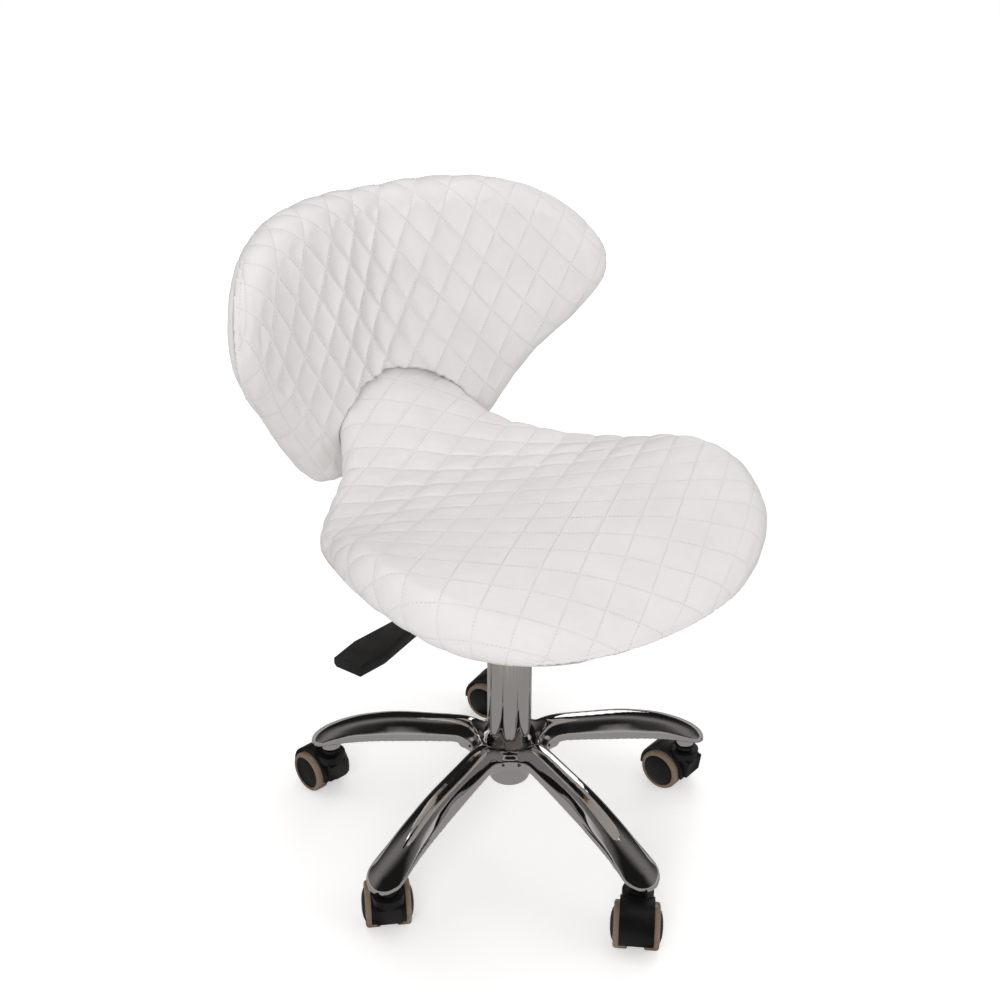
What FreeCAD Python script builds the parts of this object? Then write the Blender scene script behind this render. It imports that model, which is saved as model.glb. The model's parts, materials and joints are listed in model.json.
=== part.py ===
import FreeCAD, Part
import math
import os

# A nail technician's stool: saddle seat with a rear tongue, low curved backrest, gas lift,
# five-star base and twin-wheel casters. Millimetres. The floor is z = 0, the lift column stands on
# the Z axis, the sitter faces -Y and the sitter's left hand is on +X.

V = FreeCAD.Vector
ORIGIN = V(0, 0, 0)
UP = V(0, 0, 1)

# Fits and gaps
running_fit = 0.05
soft_gap = 0.3
face_gap = 0.3

# Five-star base
arm_count = 5
first_arm_azimuth = -90.0
stem_circle_radius = 225.0
arm_end_radius = 22.6
arm_wall = 3.5
flange_height = 9.0
ridge_shoulder = 4.0
# Each arm section: distance from the column, underside, ridge top, half width, half ridge width.
arm_sections = [
    (28.0, 116.0, 131.0, 18.5, 11.0),
    (47.0, 115.0, 138.5, 18.0, 11.0),
    (84.0, 109.0, 136.0, 17.5, 11.0),
    (133.0, 99.0, 129.0, 18.0, 11.5),
    (171.0, 91.0, 119.0, 19.0, 12.0),
    (204.0, 82.0, 105.5, 20.5, 13.0),
    (229.0, 74.0, 91.0, 22.6, 13.0),
    (243.0, 68.5, 79.5, 22.6, 12.0),
    (250.0, 66.0, 71.0, 22.6, 10.0),
]
arm_hollow_start = 44.0
arm_hollow_end = 205.0
hub_radius = 38.0
hub_bottom_z = 104.0
hub_top_z = 133.0
hub_bevel = 5.0
hub_collar_z = 121.0
hub_collar_width = 2.5
dish_slope = 45.0
web_radius = 22.0
web_bottom_z = 108.0
web_top_z = 124.0
socket_boss_radius = 13.0
socket_boss_bottom_z = 62.0
socket_boss_top_z = 80.0
socket_wall = 2.5
socket_flange = 2.0
socket_flange_width = 3.5

# Gas lift
column_radius = 25.0
column_wall = 2.0
column_bottom_z = 70.0
column_top_z = 252.0
column_taper_z = 121.0
column_taper_angle = 1.4375
column_edge_round = 5.0
column_floor = 4.0
column_floor_bevel = 1.0
bush_length = 80.0
bush_lip = 3.0
piston_rod_radius = 5.0
piston_rod_top_z = 250.0
piston_head_height = 12.0
rod_shoulder_radius = 8.0
rod_shoulder_height = 6.0
thrust_washer_radius = 18.0
thrust_washer_height = 2.0
thrust_bearing_radius = 16.0
thrust_bearing_height = 3.4
clip_width = 4.0
clip_height = 2.7
clip_tail = 1.5
pressure_radius = 14.0
pressure_wall = 1.8
pressure_bottom_z = 90.0
pressure_plug_height = 12.0
pressure_cap_height = 6.0
pressure_top_z = 362.0
pressure_taper_height = 36.0
pressure_taper = 1.4
button_radius = 3.0
button_length = 24.0
button_head_radius = 5.0
button_head_height = 2.0
button_stand = 4.0

# Mechanism under the seat
plate_width = 150.0
plate_length = 150.0
plate_middle_y = 8.0
plate_thickness = 3.0
plate_top_z = 385.0
plate_corner = 12.0
plate_flange = 10.0
cone_foot_radius = 24.0
cone_head_radius = 27.0
cone_cavity_radius = 20.0
plate_bolt_spread_x = 116.0
plate_bolt_spread_y = 116.0
plate_bolt_radius = 3.0
bolt_tip_gap = 1.0
bolt_head_radius = 5.5
bolt_head_height = 4.0
tee_nut_radius = 4.5
tee_nut_length = 7.0
tee_nut_flange_radius = 9.0
tee_nut_flange = 1.5

# Height lever, swept forward of the sitter's right hand
lever_azimuth = 197.0
lever_rod_radius = 4.0
lever_slot_room = 2.0
lever_pivot_reach = 40.0
lever_straight_reach = 112.0
lever_drop_reach = 160.0
lever_drop = 17.0
lever_bend = 24.0
pivot_pin_radius = 2.5
pivot_boss_radius = 6.5
pivot_boss_width = 11.0
pivot_ear = 3.0
paddle_start = 172.0
paddle_end = 263.0
paddle_root_width = 25.0
paddle_belly_width = 42.0
paddle_tip_width = 36.0
paddle_belly_reach = 232.0
paddle_root_height = 16.0
paddle_belly_height = 13.0
paddle_tip_height = 12.0
paddle_bevel = 3.0

# Saddle seat. Each section: y, half width and height where the top rolls over, height of the top
# on the centre line, half width and height of the bottom seam, height of the bottom in the middle.
seat_sections = [
    (-245.0, 42.0, 396.0, 398.0, 51.0, 377.0, 375.5),
    (-239.0, 80.0, 402.0, 405.0, 86.0, 380.5, 376.0),
    (-229.0, 113.0, 411.5, 414.0, 117.0, 383.0, 376.5),
    (-213.0, 145.0, 423.5, 425.5, 147.0, 385.0, 377.0),
    (-189.0, 172.0, 437.0, 437.0, 172.0, 387.0, 378.5),
    (-154.0, 192.0, 449.5, 443.0, 193.5, 392.0, 381.5),
    (-115.0, 206.0, 458.0, 445.0, 211.5, 405.0, 384.5),
    (-75.0, 211.0, 461.0, 444.0, 222.5, 413.5, 386.5),
    (-30.0, 208.0, 456.0, 443.0, 223.0, 417.5, 387.5),
    (10.0, 200.0, 445.0, 440.0, 216.0, 417.0, 388.0),
    (45.0, 186.0, 435.5, 437.5, 203.0, 413.5, 388.0),
    (78.0, 162.0, 432.0, 436.0, 180.0, 407.5, 388.5),
    (112.0, 126.0, 437.5, 439.0, 139.0, 404.0, 391.0),
    (145.0, 97.0, 445.0, 453.0, 107.0, 410.0, 402.0),
    (175.0, 79.0, 460.0, 471.0, 86.0, 424.0, 418.0),
    (207.0, 64.0, 481.0, 490.0, 70.0, 442.0, 438.0),
    (231.0, 47.0, 495.0, 501.0, 51.0, 459.0, 456.0),
    (244.0, 31.0, 498.0, 501.0, 33.0, 468.0, 467.0),
    (250.0, 15.0, 495.0, 496.0, 16.0, 475.0, 474.5),
]
board_thickness = 9.0
board_margin = 12.0
board_front_y = -231.0
board_rear_y = 228.0
lining_thickness = 1.0
lining_margin = 5.0
lining_gap = 0.6
lining_overlap = 3.0
block_half_width = 80.0
block_front_y = -92.0
block_rear_y = 122.0
block_height = 9.0

# Backrest, bent round an upright axis in front of it
tongue_gap = 4.0
tongue_room = 3.0
back_radius = 270.0
valley_skin = 4.0
pad_crown = 9.0
pad_edge_ease = 10.0
pad_depth_share = 0.45
pad_height_share = 0.3
pad_full_height = 120.0
pad_tip_azimuth = 59.7
back_board_thickness = 8.0
back_board_inset = 16.0
back_cover_thickness = 9.0
back_cover_inset = 10.0
back_top_z = 713.0
back_top_bend = (72.0, 712.0)
back_shoulder = (143.0, 705.0)
back_shoulder_bend = (187.0, 681.0)
back_tip_top = (211.0, 641.0)
back_tip = (216.5, 612.0)
back_tip_bottom = (211.0, 581.0)
back_flank_bend = (192.0, 541.0)
back_flank = (168.0, 504.0)
back_waist_bend = (136.0, 450.0)
back_waist = (110.0, 408.0)
back_corner_bend = (103.0, 401.0)
back_corner = (92.0, 399.0)
# Each pad section: how far round the backrest it stands, in degrees, and the pad's depth there.
pad_sections = [
    (0.0, 36.0),
    (4.0, 37.5),
    (9.0, 42.0),
    (14.0, 46.0),
    (20.0, 48.0),
    (27.0, 46.5),
    (34.0, 42.0),
    (42.0, 36.5),
    (49.0, 30.0),
    (54.0, 25.0),
    (57.0, 20.0),
    (58.6, 14.0),
    (59.3, 8.0),
]

# Steel bar that carries the backrest
bar_width = 60.0
bar_thickness = 6.0
bar_front_y = 92.0
bar_bend = 12.0
bar_top_z = 476.0
bar_screw_radius = 2.5
bar_screw_spread = 34.0
bar_screw_y = 107.0
bar_screw_length = 11.0
bar_screw_head_radius = 5.0
bar_screw_head = 2.0
back_bolt_radius = 3.0
back_bolt_head_radius = 6.0
back_bolt_head = 2.4
back_bolt_spread_x = 36.0
back_bolt_heights = (430.0, 458.0)

# Twin-wheel casters
wheel_radius = 25.0
wheel_inner_y = 9.0
tread_outer_y = 24.5
tread_depth = 5.0
tread_edge_round = 3.0
tread_bevel = 1.0
hub_dome_y = 28.0
hub_rim_y = 23.0
# The hub cap's dome, as shares of its radius and of its rise.
hub_dome = [(0.9, 0.3), (0.75, 0.6), (0.55, 0.84), (0.3, 0.98)]
axle_radius = 3.0
axle_half_length = 25.5
trail = 20.0
hood_radius = 30.0
hood_half_width = 18.5
wheel_clearance = 1.3
web_half_width = 8.0
web_disc_radius = 20.0
collar_radius = 17.0
collar_top_z = 55.0
collar_bottom_z = 45.0
chin_bottom_z = 24.0
chin_reach = 14.0
chin_half_width = 13.5
hood_tail_z = 22.0
barrel_floor = 4.0
stem_radius = 5.5
stem_bottom_z = 36.0
stem_top_z = 88.0
shoulder_radius = 9.0
grip_ring_height = 4.0
grip_ring_width = 1.2
# Which way each caster trails, by arm, counted round from the arm in front of the sitter.
trail_azimuths = (-133.0, 103.0, 113.0, 97.0, 61.0)

os.makedirs("parts", exist_ok=True)


def save(name, shapes):
    """Write one node, made of one or more solids, to its own file."""
    solids = [solid for shape in shapes for solid in shape.Solids]
    for solid in solids:
        if not solid.isValid() or solid.Volume <= 0:
            raise ValueError(name + " is not a closed solid")
    body = solids[0] if len(solids) == 1 else Part.makeCompound(solids)
    body.exportStep("parts/" + name + ".step")
    print(name, len(solids), "solids", round(sum(s.Volume for s in solids) / 1000, 1), "cm3")


def disc(radius, low, high, x=0.0, y=0.0):
    return Part.makeCylinder(radius, high - low, V(x, y, low), UP)


def ring(inner, outer, low, high, x=0.0, y=0.0):
    return disc(outer, low, high, x, y).cut(disc(inner, low, high, x, y))


def block(x0, x1, y0, y1, z0, z1):
    return Part.makeBox(x1 - x0, y1 - y0, z1 - z0, V(x0, y0, z0))


def turned(points):
    """A solid of revolution about Z from its (radius, z) outline."""
    wire = Part.makePolygon([V(r, 0, z) for r, z in points] + [V(points[0][0], 0, points[0][1])])
    return Part.Face(wire).revolve(ORIGIN, UP, 360)


def spun(shape, degrees):
    copy = shape.copy()
    copy.rotate(ORIGIN, UP, degrees)
    return copy


def curve(start, middle, end):
    """An arc through three points, or a line where they lie on one."""
    if (middle - start).cross(end - start).Length < 1e-6:
        return Part.LineSegment(start, end).toShape()
    return Part.Arc(start, middle, end).toShape()


def tangent_middle(start, direction, end):
    """The middle point of the arc that leaves start in a direction and ends at end."""
    chord = end - start
    direction = direction.normalize()
    turn = direction.getAngle(chord)
    side = (direction * chord.Length - chord * math.cos(turn)).normalize()
    sagitta = chord.Length / 2 * math.tan(turn / 2)
    return start + chord * 0.5 + side * sagitta


def loft(sections):
    return Part.makeLoft(sections, True, False)


# Five-star base
def arm_wire(reach, low, high, half, ridge, inset):
    """A cross-section of the arm, or of the hollow inside it where inset is its wall."""
    side = min(flange_height, 0.4 * (high - low))
    foot = low - inset
    half = half - inset
    ridge = ridge - 0.6 * inset
    brow = high - ridge_shoulder - 1.6 * inset
    shelf = low + side - 0.5 * inset
    left = [V(reach, -half, foot), V(reach, -half, shelf), V(reach, -ridge, brow)]
    right = [V(reach, ridge, brow), V(reach, half, shelf), V(reach, half, foot)]
    top = Part.Arc(left[2], V(reach, 0, high - 1.2 * inset), right[0]).toShape()
    lines = [(left[0], left[1]), (left[1], left[2]), (right[0], right[1]), (right[1], right[2])]
    edges = [Part.LineSegment(a, b).toShape() for a, b in lines]
    edges.insert(2, top)
    edges.append(Part.LineSegment(right[2], left[0]).toShape())
    return Part.Wire(edges)


def arm():
    outer = loft([arm_wire(*section, 0.0) for section in arm_sections])
    hollow = loft([arm_wire(*section, arm_wall) for section in arm_sections])
    keep = block(arm_hollow_start, arm_hollow_end, -hub_radius, hub_radius, 0, back_top_z)
    plan = block(0, stem_circle_radius, -hub_radius, hub_radius, 0, column_top_z)
    plan = plan.fuse(disc(arm_end_radius, 0, column_top_z, stem_circle_radius))
    boss = disc(socket_boss_radius, socket_boss_bottom_z, socket_boss_top_z, stem_circle_radius)
    return outer.cut(hollow.common(keep)).common(plan).fuse(boss)


def column_outer_radius(z):
    drop = max(0.0, column_taper_z - z)
    return column_radius - drop * math.tan(math.radians(column_taper_angle))


def hub_web():
    """The plate between the arms, with a hollow round between each two of them."""
    half = arm_sections[1][3]
    half_step = math.pi / arm_count
    tangent = (half + web_radius) / math.tan(half_step)
    centre = (half + web_radius) / math.sin(half_step)
    edges = []
    for k in range(arm_count):
        start = math.radians(first_arm_azimuth) + 2 * k * half_step
        middle = start + half_step
        end = start + 2 * half_step
        near = V(tangent * math.cos(start) - half * math.sin(start),
                 tangent * math.sin(start) + half * math.cos(start), web_bottom_z)
        far = V(tangent * math.cos(end) + half * math.sin(end),
                tangent * math.sin(end) - half * math.cos(end), web_bottom_z)
        before = V(tangent * math.cos(start) + half * math.sin(start),
                   tangent * math.sin(start) - half * math.cos(start), web_bottom_z)
        reach = centre - web_radius
        waist = V(reach * math.cos(middle), reach * math.sin(middle), web_bottom_z)
        edges.append(Part.LineSegment(before, near).toShape())
        edges.append(Part.Arc(near, waist, far).toShape())
    return Part.Face(Part.Wire(edges)).extrude(V(0, 0, web_top_z - web_bottom_z))


def star_base():
    body = turned([(0, hub_bottom_z), (hub_radius - hub_bevel, hub_bottom_z),
                   (hub_radius, hub_bottom_z + hub_bevel), (hub_radius, hub_top_z), (0, hub_top_z)])
    body = body.fuse(hub_web())
    one_arm = arm()
    arms = [spun(one_arm, first_arm_azimuth + k * 360 / arm_count) for k in range(arm_count)]
    body = body.fuse(arms)
    inner = column_radius + hub_collar_width
    height = column_top_z - hub_collar_z
    wide = inner + height / math.tan(math.radians(dish_slope))
    body = body.cut(turned([(0, hub_collar_z), (inner, hub_collar_z), (wide, hub_collar_z + height),
                            (0, hub_collar_z + height)]))
    low = column_outer_radius(column_bottom_z)
    bore = [(0, column_bottom_z), (low, column_bottom_z), (column_radius, column_taper_z),
            (column_radius, hub_top_z), (0, hub_top_z)]
    body = body.cut(turned(bore))
    hole = stem_radius + socket_wall
    for x, y in stem_places():
        body = body.cut(disc(hole, 0, stem_top_z, x, y))
    return body.removeSplitter()


def stem_places():
    steps = [math.radians(first_arm_azimuth + k * 360 / arm_count) for k in range(arm_count)]
    return [(stem_circle_radius * math.cos(a), stem_circle_radius * math.sin(a)) for a in steps]


def caster_socket(x, y):
    outer = stem_radius + socket_wall
    sleeve = ring(stem_radius, outer, socket_boss_bottom_z, stem_top_z, x, y)
    lip = ring(stem_radius, outer + socket_flange_width, socket_boss_bottom_z - socket_flange,
               socket_boss_bottom_z, x, y)
    return sleeve.fuse(lip).cut(grip_groove(x, y))


def grip_groove(x, y):
    middle = (socket_boss_bottom_z + stem_top_z) / 2
    return ring(stem_radius, stem_radius + grip_ring_width, middle, middle + grip_ring_height, x, y)


def caster_stem(x, y):
    shaft = disc(stem_radius, stem_bottom_z, stem_top_z, x, y)
    shoulder = disc(shoulder_radius, collar_top_z + face_gap, socket_boss_bottom_z - socket_flange, x, y)
    return shaft.fuse(shoulder)


places = stem_places()
save("star_base", [star_base()])
save("caster_sockets", [caster_socket(x, y) for x, y in places])
save("caster_stems", [caster_stem(x, y) for x, y in places])
save("stem_grip_rings", [grip_groove(x, y) for x, y in places])


# Gas lift
def column_tube():
    floor_z = column_bottom_z + column_floor
    outer_low = column_outer_radius(column_bottom_z + column_edge_round)
    inner = column_radius - column_wall
    inner_low = outer_low - column_wall
    hole = piston_rod_radius + running_fit
    corner = column_edge_round * (1 - math.sqrt(0.5))
    points = [(hole, column_bottom_z), (outer_low - column_edge_round, column_bottom_z),
              (outer_low - corner, column_bottom_z + corner),
              (outer_low, column_bottom_z + column_edge_round), (column_radius, column_taper_z),
              (column_radius, column_top_z), (inner, column_top_z), (inner, column_taper_z),
              (inner_low, floor_z + column_floor_bevel), (inner_low - column_floor_bevel, floor_z),
              (hole, floor_z)]
    return turned(points)


def guide_bush():
    bore = pressure_radius + running_fit
    sleeve = ring(bore, column_radius - column_wall, column_top_z - bush_length, column_top_z)
    return sleeve.fuse(ring(bore, column_radius, column_top_z, column_top_z + bush_lip))


column_floor_z = column_bottom_z + column_floor
washer_top_z = column_floor_z + thrust_washer_height
bearing_bottom_z = washer_top_z + face_gap
shoulder_z = bearing_bottom_z + thrust_bearing_height
save("column_tube", [column_tube()])
save("guide_bush", [guide_bush()])
save("thrust_washer", [ring(piston_rod_radius + running_fit, thrust_washer_radius, column_floor_z,
                            washer_top_z)])
save("thrust_bearing", [ring(piston_rod_radius, thrust_bearing_radius, bearing_bottom_z, shoulder_z)])

clip_top_z = column_bottom_z - face_gap
rod = disc(piston_rod_radius, clip_top_z - clip_height - clip_tail, piston_rod_top_z)
rod = rod.fuse(disc(rod_shoulder_radius, shoulder_z, shoulder_z + rod_shoulder_height))
save("retaining_clip", [ring(piston_rod_radius, piston_rod_radius + clip_width,
                             clip_top_z - clip_height, clip_top_z)])
pressure_bore = pressure_radius - pressure_wall
head_bottom_z = piston_rod_top_z - piston_head_height
save("piston_rod", [rod])
save("piston_head", [ring(piston_rod_radius, pressure_bore - running_fit, head_bottom_z,
                          piston_rod_top_z)])


def pressure_tube():
    taper_z = pressure_top_z - pressure_taper_height
    top_radius = pressure_radius - pressure_taper
    cap_z = pressure_top_z - pressure_cap_height
    plug_z = pressure_bottom_z + pressure_plug_height
    gland = piston_rod_radius + running_fit
    body = turned([(0, pressure_bottom_z), (pressure_radius, pressure_bottom_z),
                   (pressure_radius, taper_z), (top_radius, pressure_top_z), (0, pressure_top_z)])
    narrow = top_radius - pressure_wall
    body = body.cut(turned([(0, plug_z), (pressure_bore, plug_z), (pressure_bore, taper_z),
                            (narrow, cap_z), (0, cap_z)]))
    body = body.cut(disc(gland, pressure_bottom_z, plug_z))
    return body.cut(disc(button_radius + running_fit, cap_z, pressure_top_z))


def release_button():
    head_z = pressure_top_z + button_stand
    stem = disc(button_radius, head_z - button_length, head_z)
    return stem.fuse(disc(button_head_radius, head_z, head_z + button_head_height))


save("pressure_tube", [pressure_tube()])
save("release_button", [release_button()])

# Mechanism under the seat
lever_z = pressure_top_z + button_stand + button_head_height + face_gap + lever_rod_radius
plate_bottom_z = plate_top_z - plate_thickness


def plate_bolt_places():
    half_x = plate_bolt_spread_x / 2
    half_y = plate_bolt_spread_y / 2
    return [(sx * half_x, plate_middle_y + sy * half_y) for sx in (-1, 1) for sy in (-1, 1)]


def mechanism_plate():
    half_x = plate_width / 2
    front = plate_middle_y - plate_length / 2
    rear = plate_middle_y + plate_length / 2
    plate = block(-half_x, half_x, front, rear, plate_bottom_z, plate_top_z)
    plate = plate.makeFillet(plate_corner, [e for e in plate.Edges if is_upright(e)])
    flange_half = half_x - plate_corner
    for edge_y in (front, rear - plate_thickness):
        plate = plate.fuse(block(-flange_half, flange_half, edge_y, edge_y + plate_thickness,
                                 plate_bottom_z - plate_flange, plate_bottom_z))
    for x, y in plate_bolt_places():
        plate = plate.cut(disc(plate_bolt_radius, plate_bottom_z, plate_top_z, x, y))
    return plate.removeSplitter()


def is_upright(edge):
    ends = edge.Vertexes
    return len(ends) == 2 and abs(ends[0].X - ends[1].X) + abs(ends[0].Y - ends[1].Y) < 1e-6


def mechanism_cone():
    foot_z = pressure_top_z - pressure_taper_height
    body = turned([(0, foot_z), (cone_foot_radius, foot_z), (cone_head_radius, lever_z),
                   (cone_head_radius, plate_bottom_z), (0, plate_bottom_z)])
    body = body.cut(turned([(0, foot_z), (pressure_radius, foot_z),
                            (pressure_radius - pressure_taper, pressure_top_z), (0, pressure_top_z)]))
    body = body.cut(disc(cone_cavity_radius, pressure_top_z, plate_bottom_z))
    half = lever_rod_radius + lever_slot_room
    slot = block(0, lever_pivot_reach, -half, half, pressure_top_z + face_gap, plate_bottom_z)
    return body.cut(spun(slot, lever_azimuth))


def lever_pivot():
    """Two ears and their pin, made along +X and turned to the lever's direction."""
    inner = pivot_boss_width / 2 + face_gap
    ears = []
    for side in (-1, 1):
        low_y = min(side * inner, side * (inner + pivot_ear))
        ears.append(block(lever_pivot_reach - pivot_boss_radius, lever_pivot_reach + pivot_boss_radius,
                          low_y, low_y + pivot_ear, lever_z - pivot_boss_radius, plate_bottom_z))
    half = inner + pivot_ear
    pin = Part.makeCylinder(pivot_pin_radius, 2 * half, V(lever_pivot_reach, -half, lever_z), V(0, 1, 0))
    return spun(ears[0].fuse([ears[1], pin]), lever_azimuth)


def lever_rod():
    """A bar that runs level from the button, through its pivot, and steps down to the paddle."""
    low_z = lever_z - lever_drop
    end = (paddle_start + paddle_belly_reach) / 2
    first = V(lever_straight_reach, 0, lever_z)
    second = V(lever_drop_reach, 0, low_z)
    slope = (second - first).normalize()
    level = V(1, 0, 0)
    into = first - level * lever_bend / 2
    out = first + slope * lever_bend / 2
    near = second - slope * lever_bend / 2
    past = second + level * lever_bend / 2
    run = [Part.LineSegment(V(0, 0, lever_z), into).toShape(),
           Part.Arc(into, tangent_middle(into, V(level), out), out).toShape(),
           Part.LineSegment(out, near).toShape(),
           Part.Arc(near, tangent_middle(near, V(slope), past), past).toShape(),
           Part.LineSegment(past, V(end, 0, low_z)).toShape()]
    circle = Part.Wire(Part.makeCircle(lever_rod_radius, V(0, 0, lever_z), level))
    bar = Part.Wire(run).makePipeShell([circle], True, False)
    half = pivot_boss_width / 2
    boss = Part.makeCylinder(pivot_boss_radius, pivot_boss_width, V(lever_pivot_reach, -half, lever_z),
                             V(0, 1, 0))
    hole = Part.makeCylinder(pivot_pin_radius + running_fit, pivot_boss_width,
                             V(lever_pivot_reach, -half, lever_z), V(0, 1, 0))
    tip = Part.makeSphere(lever_rod_radius, V(0, 0, lever_z))
    return spun(bar.fuse([boss, tip]).cut(hole), lever_azimuth)


def paddle_wire(reach, width, height, lift):
    """A bevelled cross-section of the paddle."""
    middle_z = lever_z - lever_drop + lift
    half = width / 2
    rise = height / 2
    corners = [(half, rise - paddle_bevel), (half - paddle_bevel, rise), (paddle_bevel - half, rise),
               (-half, rise - paddle_bevel), (-half, paddle_bevel - rise), (paddle_bevel - half, -rise),
               (half - paddle_bevel, -rise), (half, paddle_bevel - rise)]
    points = [V(reach, y, middle_z + z) for y, z in corners]
    return Part.makePolygon(points + [points[0]])


def lever_handle():
    sections = [paddle_wire(paddle_start, paddle_root_width, paddle_root_height, 0),
                paddle_wire(paddle_belly_reach, paddle_belly_width, paddle_belly_height, 0),
                paddle_wire(paddle_end, paddle_tip_width, paddle_tip_height, 0)]
    body = Part.makeLoft(sections, True, True)
    socket = Part.makeCylinder(lever_rod_radius, (paddle_belly_reach - paddle_start) / 2,
                               V(paddle_start, 0, lever_z - lever_drop), V(1, 0, 0))
    return spun(body.cut(socket), lever_azimuth)


save("mechanism_plate", [mechanism_plate()])
save("mechanism_cone", [mechanism_cone()])
save("lever_pivot", [lever_pivot()])
save("lever_rod", [lever_rod()])
save("lever_handle", [lever_handle()])


# Saddle seat
def seam_height(section, x):
    """Height of the bottom of the seat across one section, a shallow arc."""
    half = section[4]
    rise = section[5] - section[6]
    return section[6] + rise * (x / half) ** 2


def cushion_wire(section, sunk):
    """A closed cross-section of the cushion. Its top and sides are drawn in by sunk."""
    y, crown, crown_z, top_z, seam, seam_z, bottom_z = section
    seam_z = seam_z - abs(sunk)
    bottom_z = bottom_z - abs(sunk)
    left = V(-crown, y, crown_z - sunk)
    right = V(crown, y, crown_z - sunk)
    seam_left = V(-(seam - sunk), y, seam_z)
    seam_right = V(seam - sunk, y, seam_z)
    top = curve(left, V(0, y, top_z - sunk), right)
    slope = 2 * math.atan2(top_z - crown_z, crown)
    side = tangent_middle(right, V(math.cos(slope), 0, -math.sin(slope)), seam_right)
    bottom = curve(seam_left, V(0, y, bottom_z), seam_right)
    left_side = V(-side.x, side.y, side.z)
    return Part.Wire([top, curve(right, side, seam_right), bottom, curve(seam_left, left_side, left)])


def shell_wire(section, margin, low, high):
    """A closed cross-section of a sheet that follows the bottom of the seat."""
    y = section[0]
    half = section[4] - margin
    edge_z = seam_height(section, half)
    middle_z = section[6]
    corners = [V(-half, y, edge_z + low), V(half, y, edge_z + low),
               V(half, y, edge_z + high), V(-half, y, edge_z + high)]
    return Part.Wire([curve(corners[0], V(0, y, middle_z + low), corners[1]),
                      Part.LineSegment(corners[1], corners[2]).toShape(),
                      curve(corners[2], V(0, y, middle_z + high), corners[3]),
                      Part.LineSegment(corners[3], corners[0]).toShape()])


def shell(margin, low, high, front_y, rear_y):
    whole = loft([shell_wire(section, margin, low, high) for section in seat_sections[1:-1]])
    return whole.common(block(-back_radius, back_radius, front_y, rear_y, 0, back_top_z))


def tee_nut_room(x, y):
    top = plate_top_z + block_height
    barrel = disc(tee_nut_radius, top - tee_nut_length, top, x, y)
    return barrel.fuse(disc(tee_nut_flange_radius, top - tee_nut_flange, top, x, y))


def plate_bolt_hole(x, y):
    return disc(plate_bolt_radius, plate_top_z, plate_top_z + block_height, x, y)


def seat_block():
    return block(-block_half_width, block_half_width, block_front_y, block_rear_y, plate_top_z,
                 plate_top_z + block_height)


def seat_board():
    board = shell(board_margin, 0, board_thickness, board_front_y, board_rear_y).fuse(seat_block())
    for x, y in plate_bolt_places():
        board = board.cut(tee_nut_room(x, y).fuse(plate_bolt_hole(x, y)))
    for x in (-bar_screw_spread / 2, bar_screw_spread / 2):
        board = board.cut(disc(bar_screw_radius, plate_top_z, plate_top_z + bar_screw_length, x,
                               bar_screw_y))
    return board.removeSplitter()


def seat_cushion():
    body = loft([cushion_wire(section, 0.0) for section in seat_sections])
    pocket = shell(board_margin - soft_gap, -board_thickness, board_thickness + soft_gap,
                   board_front_y - soft_gap, board_rear_y + soft_gap)
    return body.cut(pocket)


def seat_lining():
    sheet = shell(lining_margin, -lining_gap - lining_thickness, -lining_gap,
                  board_front_y - lining_overlap, board_rear_y + lining_overlap)
    clear = block(-block_half_width - soft_gap, block_half_width + soft_gap, block_front_y - soft_gap,
                  block_rear_y + soft_gap, 0, back_top_z)
    return sheet.cut(clear)


def plate_bolt(x, y):
    tip_z = plate_top_z + block_height - bolt_tip_gap
    shank = disc(plate_bolt_radius, plate_bottom_z - bolt_head_height, tip_z, x, y)
    head = Part.Face(Part.makePolygon([V(x + bolt_head_radius * math.cos(k * math.pi / 3),
                                         y + bolt_head_radius * math.sin(k * math.pi / 3),
                                         plate_bottom_z - bolt_head_height) for k in range(7)]))
    return shank.fuse(head.extrude(V(0, 0, bolt_head_height)))


save("seat_board", [seat_board()])
save("seat_cushion", [seat_cushion()])
save("seat_lining", [seat_lining()])
save("plate_bolts", [plate_bolt(x, y) for x, y in plate_bolt_places()])
save("tee_nuts", [tee_nut_room(x, y).cut(plate_bolt_hole(x, y)) for x, y in plate_bolt_places()])

# Backrest
tongue_tip_y = seat_sections[-1][0]
back_axis_y = tongue_tip_y + tongue_gap + valley_skin - back_radius
board_front_radius = back_radius + soft_gap
board_back_radius = board_front_radius + back_board_thickness
cover_front_radius = board_back_radius + soft_gap
cover_back_radius = cover_front_radius + back_cover_thickness


def back_outline():
    """The backrest seen from the front, as arcs from its top round to its lower corners."""
    half = [(back_shoulder, back_top_bend), (back_tip_top, back_shoulder_bend),
            (back_tip_bottom, back_tip), (back_flank, back_flank_bend), (back_waist, back_waist_bend),
            (back_corner, back_corner_bend)]
    edges = []
    for mirror in (1, -1):
        start = V(0, 0, back_top_z)
        for end, bend in half:
            stop = V(mirror * end[0], 0, end[1])
            edges.append(Part.Arc(start, V(mirror * bend[0], 0, bend[1]), stop).toShape())
            start = stop
    low = [V(mirror * back_corner[0], 0, back_corner[1]) for mirror in (-1, 1)]
    edges.append(Part.LineSegment(low[0], low[1]).toShape())
    return Part.Wire(Part.__sortEdges__(edges))


def curved_panel(inner, outer, inset):
    """The part of a tube about the backrest's axis that lies behind the inset outline."""
    wire = back_outline().makeOffset2D(-inset)
    stretch = FreeCAD.Matrix()
    stretch.A11 = inner * math.sin(math.radians(pad_sections[-1][0])) / back_tip[0]
    wire = wire.transformGeometry(stretch)
    tip_y = inner * math.cos(math.radians(pad_sections[-1][0]))
    wire.translate(V(0, back_axis_y + tip_y / 2, 0))
    prism = Part.Face(wire).extrude(V(0, outer, 0))
    tube = ring(inner, outer, 0, back_top_z, 0, back_axis_y)
    return tube.common(prism)


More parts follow.
